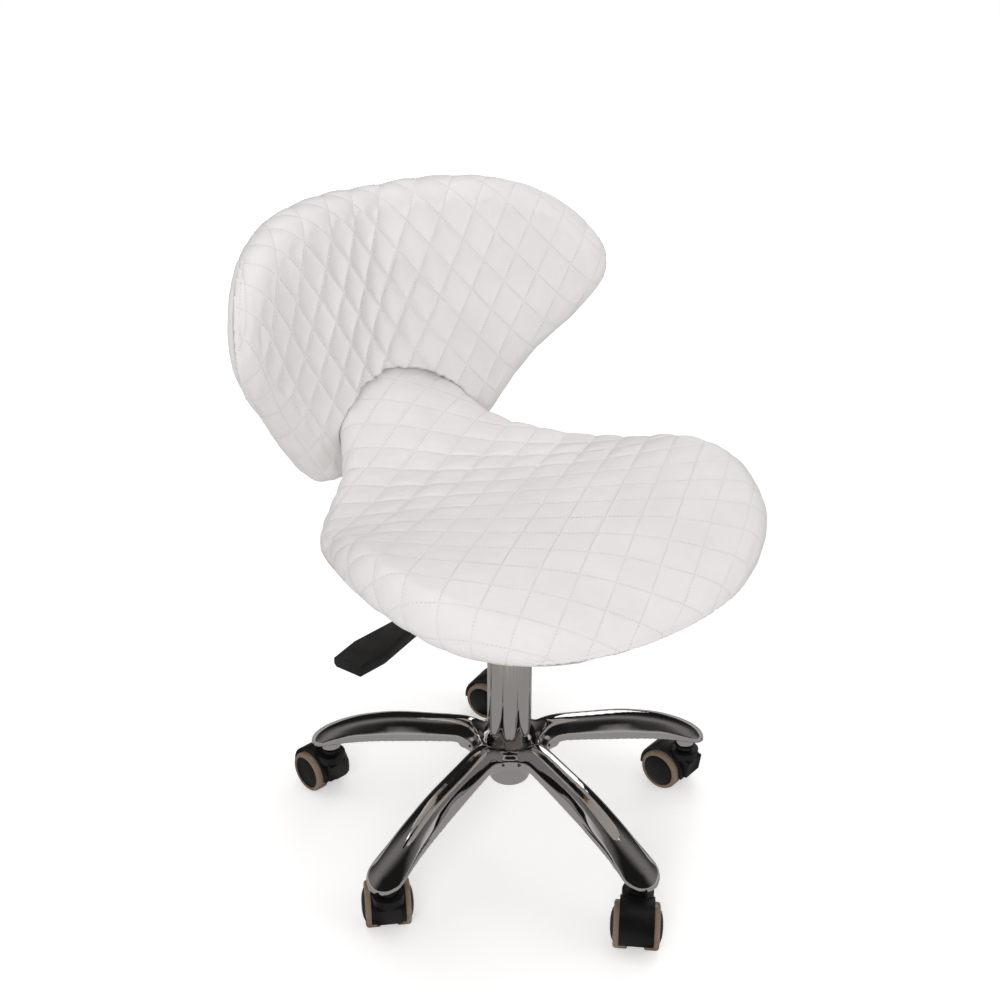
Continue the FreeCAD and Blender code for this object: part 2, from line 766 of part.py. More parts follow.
def pad_wire(outline, azimuth, depth):
    """An upright section of the pad, in the plane that holds the backrest's axis."""
    angle = math.radians(azimuth)
    share = abs(math.sin(angle)) / math.sin(math.radians(pad_tip_azimuth))
    x = back_tip[0] * share
    probe = Part.LineSegment(V(x, 0, 0), V(x, 0, back_top_z * 2)).toShape()
    heights = [vertex.Z for vertex in outline.common(probe).Vertexes]
    low = min(heights)
    high = max(heights)
    crown = back_radius - depth
    tall = min(1.0, (high - low) / pad_full_height)
    edge = crown + min(pad_crown, pad_depth_share * depth) * tall
    ease = min(pad_depth_share * (back_radius - edge), pad_edge_ease, pad_height_share * (high - low))
    between = (edge + back_radius) / 2
    spots = [(back_radius, low + ease), (back_radius, high - ease), (between, high),
             (edge, high - ease), (crown, (low + high) / 2), (edge, low + ease), (between, low)]
    back_low, back_high, top, front_high, front, front_low, bottom = [
        V(r * math.sin(angle), back_axis_y + r * math.cos(angle), z) for r, z in spots]
    return Part.Wire([Part.LineSegment(back_low, back_high).toShape(), curve(back_high, top, front_high),
                      curve(front_high, front, front_low), curve(front_low, bottom, back_low)])


def back_pad():
    """The quilted pad, hollowed where the seat's tongue rests against it."""
    outline = Part.Face(back_outline())
    mirrored = [(-azimuth, depth) for azimuth, depth in pad_sections[:0:-1]]
    body = loft([pad_wire(outline, azimuth, depth) for azimuth, depth in mirrored + pad_sections])
    room = loft([cushion_wire(section, -tongue_room) for section in seat_sections])
    room.translate(V(0, tongue_gap / 2, 0))
    return body.cut(room)


bar_top_y = back_axis_y + board_back_radius + face_gap


def back_bar():
    """A flat bar under the seat, bent up behind the back board."""
    half = bar_width / 2
    low_z = plate_top_z - bar_thickness
    rear_y = bar_top_y + bar_thickness
    level = block(-half, half, bar_front_y, rear_y, low_z, plate_top_z)
    upright = block(-half, half, bar_top_y, rear_y, low_z, bar_top_z)
    bar = level.fuse(upright).removeSplitter()
    outer = [e for e in bar.Edges if is_bend(e, rear_y, low_z)]
    bar = bar.makeFillet(bar_bend, outer)
    inner = [e for e in bar.Edges if is_bend(e, bar_top_y, plate_top_z)]
    bar = bar.makeFillet(bar_bend - bar_thickness, inner)
    for x in (-bar_screw_spread / 2, bar_screw_spread / 2):
        bar = bar.cut(disc(bar_screw_radius, low_z, plate_top_z, x, bar_screw_y))
    for bolt in back_bolts():
        bar = bar.cut(bolt)
    return bar


def is_bend(edge, y, z):
    return all(abs(v.Y - y) < 1e-4 and abs(v.Z - z) < 1e-4 for v in edge.Vertexes)


def back_bolts():
    bolts = []
    rear_y = bar_top_y + bar_thickness
    front_y = back_axis_y + board_front_radius + bolt_tip_gap
    for z in back_bolt_heights:
        for x in (-back_bolt_spread_x / 2, back_bolt_spread_x / 2):
            shank = Part.makeCylinder(back_bolt_radius, rear_y - front_y, V(x, front_y, z), V(0, 1, 0))
            head = Part.makeCylinder(back_bolt_head_radius, back_bolt_head,
                                     V(x, rear_y - back_bolt_head, z), V(0, 1, 0))
            bolts.append(shank.fuse(head))
    return bolts


def bar_screw(x):
    low_z = plate_top_z - bar_thickness
    tip_z = plate_top_z + bar_screw_length - bolt_tip_gap
    head = disc(bar_screw_head_radius, low_z - bar_screw_head, low_z, x, bar_screw_y)
    return head.fuse(disc(bar_screw_radius, low_z, tip_z, x, bar_screw_y))


def back_cover():
    cover = curved_panel(cover_front_radius, cover_back_radius, back_cover_inset)
    half = bar_width / 2 + soft_gap
    rear_y = bar_top_y + bar_thickness + soft_gap
    pocket = block(-half, half, 0, rear_y, 0, bar_top_z + soft_gap)
    return cover.cut(pocket)


back_board = curved_panel(board_front_radius, board_back_radius, back_board_inset)
for bolt in back_bolts():
    back_board = back_board.cut(bolt)
save("back_board", [back_board])
save("back_pad", [back_pad()])
save("back_cover", [back_cover()])
save("back_bracket", [back_bar()])
save("back_bolts", back_bolts())
save("bracket_screws", [bar_screw(x) for x in (-bar_screw_spread / 2, bar_screw_spread / 2)])


# Casters, each made with its stem on the Z axis and its trail along +X
def across(radius, low_y, high_y, x, z):
    return Part.makeCylinder(radius, high_y - low_y, V(x, low_y, z), V(0, 1, 0))


def caster_housing():
    """The hood over both wheels, its chin in front, and the web that holds the axle and the stem."""
    wide = hood_half_width
    hood = across(hood_radius, -wide, wide, trail, wheel_radius)
    hood = hood.cut(block(-stem_circle_radius, stem_circle_radius, -wide, wide, -hood_radius, hood_tail_z))
    chin_side = Part.Face(Part.makePolygon([V(-collar_radius, 0, collar_bottom_z), V(trail, 0, collar_top_z),
                                            V(trail, 0, wheel_radius), V(0, 0, chin_bottom_z),
                                            V(-chin_reach, 0, chin_bottom_z),
                                            V(-collar_radius, 0, collar_bottom_z)]))
    chin_side.translate(V(0, -chin_half_width, 0))
    chin = chin_side.extrude(V(0, 2 * chin_half_width, 0))
    collar = disc(collar_radius, collar_bottom_z, collar_top_z)
    body = hood.fuse([collar, chin])
    room = wheel_radius + wheel_clearance
    outside = hood_half_width * 2
    body = body.cut(across(room, web_half_width, outside, trail, wheel_radius))
    body = body.cut(across(room, -outside, -web_half_width, trail, wheel_radius))
    web = across(web_disc_radius, -web_half_width, web_half_width, trail, wheel_radius)
    barrel = disc(web_half_width, stem_bottom_z - barrel_floor, collar_bottom_z)
    body = body.fuse([web, barrel])
    body = body.cut(disc(stem_radius + running_fit, stem_bottom_z - face_gap, collar_top_z))
    body = body.cut(across(axle_radius, -web_half_width, web_half_width, trail, wheel_radius))
    return body.removeSplitter()


def wheel_profile(points, side):
    wire = Part.makePolygon([V(trail, side * y, wheel_radius + r) for r, y in points + points[:1]])
    return Part.Face(wire).revolve(V(trail, 0, wheel_radius), V(0, 1, 0), 360)


def tread(side):
    inner = wheel_radius - tread_depth
    ease = tread_edge_round
    bevel = tread_bevel
    corner = ease * (1 - math.sqrt(0.5))
    return wheel_profile([(inner, wheel_inner_y), (wheel_radius - bevel, wheel_inner_y),
                          (wheel_radius, wheel_inner_y + bevel), (wheel_radius, tread_outer_y - ease),
                          (wheel_radius - corner, tread_outer_y - corner),
                          (wheel_radius - ease, tread_outer_y), (inner, tread_outer_y)], side)


def wheel_hub(side):
    bore = axle_radius + running_fit
    rim = wheel_radius - tread_depth
    end = axle_half_length + face_gap
    rise = hub_dome_y - hub_rim_y
    dome = [(rim * across_share, hub_rim_y + rise * out_share) for across_share, out_share in hub_dome]
    body = wheel_profile([(0, wheel_inner_y), (rim, wheel_inner_y), (rim, hub_rim_y)] + dome
                         + [(0, hub_dome_y)], side)
    hole = across(bore, min(0, side * end), max(0, side * end), trail, wheel_radius)
    return body.cut(hole)


housing = caster_housing()
axle = across(axle_radius, -axle_half_length, axle_half_length, trail, wheel_radius)
wheel_parts = {"a": (tread(1), wheel_hub(1)), "b": (tread(-1), wheel_hub(-1))}


def placed(shape, index):
    copy = spun(shape, trail_azimuths[index])
    x, y = places[index]
    copy.translate(V(x, y, 0))
    return copy


for index in range(arm_count):
    name = "caster_" + str(index + 1)
    save(name + "_housing", [placed(housing, index)])
    save(name + "_axle", [placed(axle, index)])
    for letter, (tyre, centre) in wheel_parts.items():
        save(name + "_wheel_" + letter + "_tread", [placed(tyre, index)])
        save(name + "_wheel_" + letter + "_hub", [placed(centre, index)])
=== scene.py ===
import bpy
import bmesh
import json
import math
import numpy as np
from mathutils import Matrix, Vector
from mathutils.bvhtree import BVHTree

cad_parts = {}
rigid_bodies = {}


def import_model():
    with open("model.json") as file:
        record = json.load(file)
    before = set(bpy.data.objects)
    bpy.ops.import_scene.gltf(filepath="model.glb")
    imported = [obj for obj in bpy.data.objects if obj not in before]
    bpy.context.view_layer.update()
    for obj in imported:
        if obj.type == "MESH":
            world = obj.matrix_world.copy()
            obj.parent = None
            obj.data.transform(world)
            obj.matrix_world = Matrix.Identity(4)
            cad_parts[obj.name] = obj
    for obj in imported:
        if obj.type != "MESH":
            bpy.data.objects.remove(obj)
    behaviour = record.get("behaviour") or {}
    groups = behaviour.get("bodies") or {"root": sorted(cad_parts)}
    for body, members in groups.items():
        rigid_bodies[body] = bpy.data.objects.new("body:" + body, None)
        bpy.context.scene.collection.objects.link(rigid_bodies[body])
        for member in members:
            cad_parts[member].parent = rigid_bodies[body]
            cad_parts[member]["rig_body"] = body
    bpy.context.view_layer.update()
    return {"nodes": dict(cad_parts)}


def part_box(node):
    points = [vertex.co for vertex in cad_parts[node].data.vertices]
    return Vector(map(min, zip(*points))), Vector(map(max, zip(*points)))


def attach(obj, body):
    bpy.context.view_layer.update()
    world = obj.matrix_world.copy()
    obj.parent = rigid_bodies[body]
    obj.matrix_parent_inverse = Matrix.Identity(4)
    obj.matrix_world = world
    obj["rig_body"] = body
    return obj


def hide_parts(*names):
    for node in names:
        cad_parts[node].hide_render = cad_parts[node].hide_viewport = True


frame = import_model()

# A nail technician's stool: quilted saddle seat and backrest in white leather, chrome base and column,
# black nylon casters with taupe treads. Metres; the sitter faces -Y and the column stands on Z.
nodes = frame["nodes"]
mm = 0.001


# Small helpers
def fromHex(code):
    parts = [int(code[i:i + 2], 16) / 255 for i in (1, 3, 5)]
    return [c / 12.92 if c <= 0.04045 else ((c + 0.055) / 1.055) ** 2.4 for c in parts] + [1.0]


def addNode(tree, kind, settings=None, inputs=None):
    # An input is given a value, a socket, or a node, which stands for its first output.
    node = tree.nodes.new(kind)
    for name, value in (settings or {}).items():
        setattr(node, name, value)
    for name, value in (inputs or {}).items():
        if isinstance(value, bpy.types.Node):
            value = value.outputs[0]
        if isinstance(value, bpy.types.NodeSocket):
            tree.links.new(value, node.inputs[name])
        else:
            node.inputs[name].default_value = value
    return node


def newMaterial(name):
    # Comes with its node tree and the place on the piece, in metres.
    material = bpy.data.materials.new(name)
    material.use_nodes = True
    tree = material.node_tree
    tree.nodes.clear()
    return material, tree, addNode(tree, "ShaderNodeTexCoord").outputs["Object"]


def finishMaterial(material, shader):
    addNode(material.node_tree, "ShaderNodeOutputMaterial", inputs={"Surface": shader})
    return material


def placed(name, data):
    thing = bpy.data.objects.new(name, data)
    bpy.context.scene.collection.objects.link(thing)
    return thing


def smoothFaces(mesh):
    mesh.polygons.foreach_set("use_smooth", [True] * len(mesh.polygons))


def newObject(name, vertices, faces, material=None):
    mesh = bpy.data.meshes.new(name)
    mesh.from_pydata([tuple(v) for v in vertices], [], [tuple(f) for f in faces])
    smoothFaces(mesh)
    mesh.update()
    if material:
        mesh.materials.append(material)
    return placed(name, mesh)


def flatten(thing):
    # Turns what the modifiers show into the object's own plain mesh.
    graph = bpy.context.evaluated_depsgraph_get()
    mesh = bpy.data.meshes.new_from_object(thing.evaluated_get(graph))
    thing.modifiers.clear()
    thing.data = mesh
    return thing


def smoothLine(xs, ys):
    # A smooth curve through listed points, with slopes taken from the neighbours.
    xs, ys = np.array(xs, float), np.array(ys, float)
    slopes = np.gradient(ys, xs)

    def at(x):
        x = np.clip(x, xs[0], xs[-1])
        i = np.clip(np.searchsorted(xs, x) - 1, 0, len(xs) - 2)
        h = xs[i + 1] - xs[i]
        t = (x - xs[i]) / h
        a, b = ys[i], ys[i + 1]
        return ((2 * t ** 3 - 3 * t ** 2 + 1) * a + (t ** 3 - 2 * t ** 2 + t) * h * slopes[i]
                + (3 * t ** 2 - 2 * t ** 3) * b + (t ** 3 - t ** 2) * h * slopes[i + 1])
    return at


def closedLine(points, count):
    # A smooth closed curve through the points, cut into equal steps.
    points = np.array(points, float)
    n = len(points)
    t = np.linspace(0, n, count * 4, endpoint=False)
    i = t.astype(int)
    f = (t - i)[:, None]
    p0, p1, p2, p3 = (points[(i + k) % n] for k in (-1, 0, 1, 2))
    fine = 0.5 * (2 * p1 + (p2 - p0) * f + (2 * p0 - 5 * p1 + 4 * p2 - p3) * f ** 2
                  + (3 * p1 - p0 - 3 * p2 + p3) * f ** 3)
    step = np.linalg.norm(np.diff(fine[:, :2], axis=0, append=fine[:1, :2]), axis=1)
    along = np.concatenate([[0], np.cumsum(step)])
    places = np.linspace(0, along[-1], count, endpoint=False)
    closed = np.vstack([fine, fine[:1]])
    return np.stack([np.interp(places, along, closed[:, k]) for k in range(fine.shape[1])], axis=1)


def unit(v):
    return v / np.maximum(np.linalg.norm(v, axis=-1, keepdims=True), 1e-12)


def sideways(line, reach=1):
    # The direction at a right angle to a closed line, in its plane.
    heading = unit(np.roll(line, -reach, 0) - np.roll(line, reach, 0))
    return np.stack([heading[:, 1], -heading[:, 0]], axis=1)


def openPoints(faces):
    # The points on sides that belong to one face only.
    sides = np.sort(np.concatenate([faces[:, [k, (k + 1) % 4]] for k in range(4)]), axis=1)
    pairs, times = np.unique(sides, axis=0, return_counts=True)
    return np.unique(pairs[times == 1])


# Materials
gently, ofColours = {"interpolation_type": "SMOOTHSTEP"}, {"data_type": "RGBA"}


def upholsteryLeather(name, look):
    # Corrected-grain cow leather, finished white and matt: soft highlights, a fine pebble, faint tone changes, and
    # painted shade: darker leather in the stitch grooves and needle holes.
    material, tree, spot = newMaterial(name)
    tone = addNode(tree, "ShaderNodeTexNoise",
                   inputs={"Vector": spot, "Scale": 1 / (look["cloudMm"] * mm), "Detail": 3.0})
    toneRamp = addNode(tree, "ShaderNodeValToRGB", inputs={"Fac": tone})
    for end, position, key in zip(toneRamp.color_ramp.elements, (0.3, 0.7), ("shade", "colour")):
        end.position, end.color = position, fromHex(look[key])
    colour = toneRamp
    grain = addNode(tree, "ShaderNodeTexVoronoi", {"feature": "SMOOTH_F1"},
                    {"Vector": spot, "Scale": 1 / (look["pebbleMm"] * mm), "Smoothness": 0.6})
    crinkle = addNode(tree, "ShaderNodeTexNoise", inputs={
        "Vector": spot, "Scale": 1 / (look["crinkleMm"] * mm), "Detail": 5.0, "Roughness": 0.6})
    pebbled = addNode(tree, "ShaderNodeBump", inputs={
        "Height": grain, "Strength": 0.35, "Distance": look["pebbleDepthMm"] * mm})
    bump = addNode(tree, "ShaderNodeBump", inputs={
        "Height": crinkle, "Strength": 0.5, "Distance": look["crinkleDepthMm"] * mm, "Normal": pebbled})
    if look["cellMm"]:
        # The quilt map counts cells along both stitch directions, so a whole number is a stitch line, and
        # each line has its needle holes at even steps. These are the distances to them in millimetres.
        cells = addNode(tree, "ShaderNodeUVMap", {"uv_map": "quilt"})
        split = addNode(tree, "ShaderNodeSeparateXYZ", inputs={"Vector": cells}).outputs
        near = {}
        for kind, count, size in (("line", 1, look["cellMm"]), ("hole", look["stitches"], look["sideMm"])):
            for axis in "XY":
                beat = addNode(tree, "ShaderNodeMath", {"operation": "MULTIPLY"}, {0: split[axis], 1: count})
                turn = addNode(tree, "ShaderNodeMath", {"operation": "PINGPONG"}, {0: beat, 1: 0.5})
                near[kind + axis] = addNode(tree, "ShaderNodeMath", {"operation": "MULTIPLY"},
                                            {0: turn, 1: size / count})
        gap = addNode(tree, "ShaderNodeMath", {"operation": "MINIMUM"}, {0: near["lineX"], 1: near["lineY"]})
        groove = addNode(tree, "ShaderNodeMapRange", gently, {"Value": gap, "From Max": look["grooveMm"]})
        bump = addNode(tree, "ShaderNodeBump", inputs={
            "Height": groove, "Strength": 0.8, "Distance": look["grooveDepthMm"] * mm, "Normal": bump})
        onX, onY = (addNode(tree, "ShaderNodeMath", {"operation": "MAXIMUM"},
                            {0: near["hole" + along], 1: near["line" + across]}) for along, across in ("YX", "XY"))
        specks = addNode(tree, "ShaderNodeMath", {"operation": "MINIMUM"}, {0: onX, 1: onY})
        hole = addNode(tree, "ShaderNodeMapRange", gently, {
            "Value": specks, "From Min": look["holeMm"] * 0.5, "From Max": look["holeMm"], "To Min": 1.0, "To Max": 0.0})
        # Painted shade: the leather is darker in the stitch grooves, shade painted into the crease.
        grooveShaded = addNode(tree, "ShaderNodeMix", ofColours,
                        {"Factor": groove, 6: fromHex(look["paintedGrooveShade"]), 7: colour})
        # Painted shade: a darker dot at each needle hole, the hole's shade painted in.
        holeShaded = addNode(tree, "ShaderNodeMix", ofColours,
                          {"Factor": hole, 6: grooveShaded.outputs[2], 7: fromHex(look["paintedHoleShade"])})
        colour = holeShaded.outputs[2]
    shader = addNode(tree, "ShaderNodeBsdfPrincipled", inputs={
        "Base Color": colour, "Roughness": look["roughness"], "IOR": 1.5, "Normal": bump,
        "Sheen Weight": 0.08, "Sheen Roughness": 0.6})
    return finishMaterial(material, shader)


def polishedMetal(name, look):
    # Plated or bare metal. Chrome over nickel mirrors the room; zinc and bare steel are duller.
    material, tree, spot = newMaterial(name)
    haze, wave = (addNode(tree, "ShaderNodeTexNoise", inputs={
        "Vector": spot, "Scale": 1 / (look[size] * mm), "Detail": detail})
        for size, detail in (("hazeMm", 3.0), ("waveMm", 1.0)))
    rough = addNode(tree, "ShaderNodeMapRange", inputs={
        "Value": haze, "From Min": 0.3, "From Max": 0.7, "To Min": look["smooth"], "To Max": look["dull"]})
    bump = addNode(tree, "ShaderNodeBump", inputs={
        "Height": wave, "Strength": 0.5, "Distance": look["waveDepthMm"] * mm})
    shader = addNode(tree, "ShaderNodeBsdfPrincipled", inputs={
        "Base Color": fromHex(look["colour"]), "Metallic": 1.0, "Roughness": rough, "Normal": bump})
    return finishMaterial(material, shader)


def mouldedPlastic(name, look):
    # Injection-moulded plastic: the mould's spark-eroded grain scatters the light, wear evens it out.
    # Powder coat, thread, cut leather, plywood and lining cloth are as matt and as finely grained.
    material, tree, spot = newMaterial(name)
    grit, patch = (addNode(tree, "ShaderNodeTexNoise", inputs={
        "Vector": spot, "Scale": 1 / (look[size] * mm), "Detail": 2.0}) for size in ("gritMm", "patchMm"))
    rough = addNode(tree, "ShaderNodeMapRange", inputs={
        "Value": patch, "From Min": 0.3, "From Max": 0.7, "To Min": look["smooth"], "To Max": look["dull"]})
    tint = addNode(tree, "ShaderNodeMix", ofColours,
                   {"Factor": patch, 6: fromHex(look["colour"]), 7: fromHex(look["worn"])})
    bump = addNode(tree, "ShaderNodeBump", inputs={
        "Height": grit, "Strength": 0.6, "Distance": look["gritDepthMm"] * mm})
    shader = addNode(tree, "ShaderNodeBsdfPrincipled", inputs={
        "Base Color": tint.outputs[2], "Roughness": rough, "IOR": look.get("ior", 1.5),
        "Specular IOR Level": look.get("shine", 0.5), "Normal": bump})
    return finishMaterial(material, shader)


leatherLook = {
    "colour": "#eae7e6", "shade": "#e4e1e0", "cloudMm": 60.0, "pebbleMm": 1.1, "pebbleDepthMm": 0.10,
    "crinkleMm": 6.0, "crinkleDepthMm": 0.45, "roughness": 0.5, "cellMm": 34.8, "sideMm": 37.5,
    "stitches": 9, "grooveMm": 1.6, "grooveDepthMm": 0.3, "holeMm": 0.6,
    # The groove and hole colours are painted shade: darker leather in the stitch creases and in the needle holes.
    "paintedGrooveShade": "#e5e2e1", "paintedHoleShade": "#c4beb9",
}
quiltedLeather = upholsteryLeather("whiteQuiltedLeather", leatherLook)
plainLeather = upholsteryLeather("whitePlainLeather", dict(leatherLook, cellMm=None))
chrome = polishedMetal("chromePlatedAluminium", {
    "colour": "#cfcccb", "smooth": 0.035, "dull": 0.07, "hazeMm": 40.0, "waveMm": 30.0, "waveDepthMm": 0.06})
chromeTube = polishedMetal("chromePlatedSteelTube", {
    "colour": "#cbc8c6", "smooth": 0.04, "dull": 0.08, "hazeMm": 30.0, "waveMm": 60.0, "waveDepthMm": 0.02})
zinc = polishedMetal("zincPlatedSteel", {
    "colour": "#a9a7a4", "smooth": 0.3, "dull": 0.42, "hazeMm": 6.0, "waveMm": 3.0, "waveDepthMm": 0.05})
blackNylon = mouldedPlastic("blackNylonMoulded", {
    "colour": "#0b0b0b", "worn": "#131212", "gritMm": 0.7, "gritDepthMm": 0.05, "patchMm": 18.0,
    "smooth": 0.4, "dull": 0.52, "shine": 0.4})
hubNylon = mouldedPlastic("blackNylonHubCap", {
    "colour": "#0d0d0d", "worn": "#151414", "gritMm": 0.5, "gritDepthMm": 0.03, "patchMm": 12.0,
    "smooth": 0.5, "dull": 0.62, "shine": 0.4})
treadUrethane = mouldedPlastic("taupePolyurethaneCast", {
    "colour": "#7f6c5b", "worn": "#8a7665", "gritMm": 2.0, "gritDepthMm": 0.01, "patchMm": 15.0,
    "smooth": 0.2, "dull": 0.32})
powderCoat = mouldedPlastic("blackPowderCoatedSteel", {
    "colour": "#161616", "worn": "#1e1e1e", "gritMm": 1.2, "gritDepthMm": 0.06, "patchMm": 30.0,
    "smooth": 0.38, "dull": 0.5})
liningCloth = mouldedPlastic("whiteNonWovenCloth", {
    "colour": "#d9d6d2", "worn": "#cdc9c4", "gritMm": 1.5, "gritDepthMm": 0.25, "patchMm": 10.0,
    "smooth": 0.85, "dull": 0.95, "ior": 1.45})
plywood = mouldedPlastic("beechPlywood", {
    "colour": "#b48a5e", "worn": "#a67c52", "gritMm": 1.5, "gritDepthMm": 0.1, "patchMm": 12.0,
    "smooth": 0.6, "dull": 0.75})
thread = mouldedPlastic("palePolyesterThread", {
    "colour": "#ece8e5", "worn": "#e3deda", "gritMm": 0.6, "gritDepthMm": 0.05, "patchMm": 8.0,
    "smooth": 0.6, "dull": 0.75})
rawEdge = mouldedPlastic("creamRawLeatherEdge", {
    "colour": "#d9c9ae", "worn": "#c4b293", "gritMm": 0.9, "gritDepthMm": 0.15, "patchMm": 14.0,
    "smooth": 0.7, "dull": 0.85})
print("materials made")


# The quilt's sheet: a cover laid over a form, whose mesh runs along the stitch lines.
def makeCover(name, form, quilt):
    # form: top(m, inside) gives the crowned face at cloth places m, so far inside the crown line, and rim
    # gives the rolled edge round it.
    rim, cuts = form["rim"], quilt["cuts"]
    first, second, origin = (np.array(quilt[key]) * mm for key in ("first", "second", "origin"))
    margin = 90 * mm  # how far past the crown line the grid is laid
    low, high = rim["m"].min(0) - margin, rim["m"].max(0) + margin
    back = np.linalg.inv(np.stack([first, second], axis=1))
    corners = np.array([[x, y] for x in (low[0], high[0]) for y in (low[1], high[1])]) - origin
    spans = corners @ back.T
    iLow, jLow = np.floor(spans.min(0) * cuts).astype(int)
    iHigh, jHigh = np.ceil(spans.max(0) * cuts).astype(int)
    gi, gj = np.meshgrid(np.arange(iLow, iHigh + 1), np.arange(jLow, jHigh + 1), indexing="ij")
    pq = np.stack([gi, gj], axis=-1).reshape(-1, 2) / cuts
    m = origin + pq[:, :1] * first + pq[:, 1:] * second
    for power, bend in zip(((2, 0), (1, 1), (0, 2)), quilt["bow"]):
        m = m + (pq[:, :1] ** power[0] * pq[:, 1:] ** power[1]) * np.array(bend) * mm
    where = rimPlace(rim, m)
    # A square of the grid stays where all of its corners lie on the cover.
    kept = (where["past"] < where["length"]).reshape(gi.shape)
    whole = kept[:-1, :-1] & kept[1:, :-1] & kept[:-1, 1:] & kept[1:, 1:]
    index = np.arange(len(m)).reshape(gi.shape)
    corner = (index[:-1, :-1], index[1:, :-1], index[1:, 1:], index[:-1, 1:])
    used, quads = np.unique(np.stack([part[whole] for part in corner], axis=1), return_inverse=True)
    quads = quads.reshape(-1, 4)
    m, pq = m[used], pq[used]
    # The ragged edge is drawn out to the seam.
    border = np.zeros(len(m), bool)
    border[openPoints(quads)] = True
    where = rimPlace(rim, m)
    m[border] = where["nearest"][border] + where["normal"][border] * where["length"][border][:, None]
    where = rimPlace(rim, m)
    where["past"][border] = where["length"][border]
    places, normals = coverPlace(form, m, where)
    # Between the lines the foam swells the leather; the lines and the seam stay drawn in.
    wave = np.abs(np.sin(np.pi * pq[:, 0])) * np.abs(np.sin(np.pi * pq[:, 1]))
    plump = np.full(len(m), quilt["plump"])
    for x, y, wide, gain in quilt["fuller"]:
        plump += gain * np.exp(-((m - [x * mm, y * mm]) ** 2).sum(1) / (wide * mm) ** 2)
    toSeam = np.clip((where["length"] - where["past"]) / (quilt["hemMm"] * mm), 0, 1)
    fade = toSeam * toSeam * (3 - 2 * toSeam)
    lift = plump * (-quilt["sunkMm"] + (quilt["sunkMm"] + quilt["proudMm"]) * wave ** quilt["power"]) * mm
    onLine = (np.abs(pq - np.round(pq)).min(1) < 0.25 / cuts) | border
    return {"m": m, "pq": pq, "quads": quads, "places": places + normals * (lift * fade)[:, None],
            "normals": normals, "border": border, "onLine": onLine, "plump": plump, "where": where,
            "form": form, "name": name}


def rimPlace(rim, m):
    # Nearest place on the crown line, how far past it m lies, and the roll's sizes there.
    line, count = rim["m"], len(rim["m"])
    nearest = np.empty(len(m), int)
    batch = 4000  # points at a time, to spare memory
    for start in range(0, len(m), batch):
        part = m[start:start + batch]
        gap = ((part[:, None, :] - line[None, ::4, :]) ** 2).sum(2)
        rough = gap.argmin(1) * 4
        around = (rough[:, None] + np.arange(-5, 6)) % count
        close = ((part[:, None, :] - line[around]) ** 2).sum(2)
        nearest[start:start + batch] = around[np.arange(len(part)), close.argmin(1)]
    best, chosen, share, spot = np.full(len(m), np.inf), nearest.copy(), np.zeros(len(m)), np.zeros_like(m)
    for turn in (-1, 0):
        i0 = (nearest + turn) % count
        a, b = line[i0], line[(i0 + 1) % count]
        t = np.clip(((m - a) * (b - a)).sum(1) / np.maximum(((b - a) ** 2).sum(1), 1e-18), 0, 1)
        foot = a + (b - a) * t[:, None]
        gap = np.linalg.norm(m - foot, axis=1)
        closer = gap < best
        for kept, found in ((best, gap), (chosen, i0), (share, t), (spot, foot)):
            kept[closer] = found[closer]
    after = (chosen + 1) % count
    mix = lambda key: rim[key][chosen] * (1 - share[:, None]) + rim[key][after] * share[:, None]
    normal = unit(mix("normal"))
    side = np.sign(((m - spot) * normal).sum(1))
    values = mix("sizes")
    return {"past": best * side, "nearest": spot, "normal": normal, "start": mix("start"), "out": unit(mix("out")),
            "down": unit(mix("down")), "slope": values[:, 0], "radius": values[:, 1], "length": values[:, 2]}


def rollPlace(where, past):
    # The place on the rolled edge, that far past its crown line.
    angle = where["slope"] + past / where["radius"]
    across = where["radius"] * (np.sin(angle) - np.sin(where["slope"]))
    drop = where["radius"] * (np.cos(where["slope"]) - np.cos(angle))
    return where["start"] + where["out"] * across[:, None] + where["down"] * drop[:, None]


def coverPlace(form, m, where):
    # The place and the outward direction on the form for cloth places m.
    top, past, inside = form["top"], np.maximum(where["past"], 0), -np.minimum(where["past"], 0)
    places = np.where((where["past"] <= 0)[:, None], top(m, inside), rollPlace(where, past))
    nearby = 0.4 * mm
    ahead, beside = (top(m + step, inside) - top(m - step, inside)
                     for step in (np.array([nearby, 0]), np.array([0, nearby])))
    topNormal = unit(np.cross(ahead, beside)) * form["facing"]
    angle = where["slope"] + past / where["radius"]
    rollNormal = unit(where["out"] * np.sin(angle)[:, None] - where["down"] * np.cos(angle)[:, None])
    blend = np.clip(where["past"] / (4 * mm) + 0.5, 0, 1)[:, None]
    return places, unit(topNormal * (1 - blend) + rollNormal * blend)


def rollSizes(reach, depth, slope):
    # Radius and length of the arc that leaves at a slope and ends at the seam.
    chord = np.hypot(reach, depth)
    turn = np.maximum(np.arctan2(depth, reach) - slope, 0.08)
    radius = chord / (2 * np.sin(turn))
    return radius, 2 * turn * radius


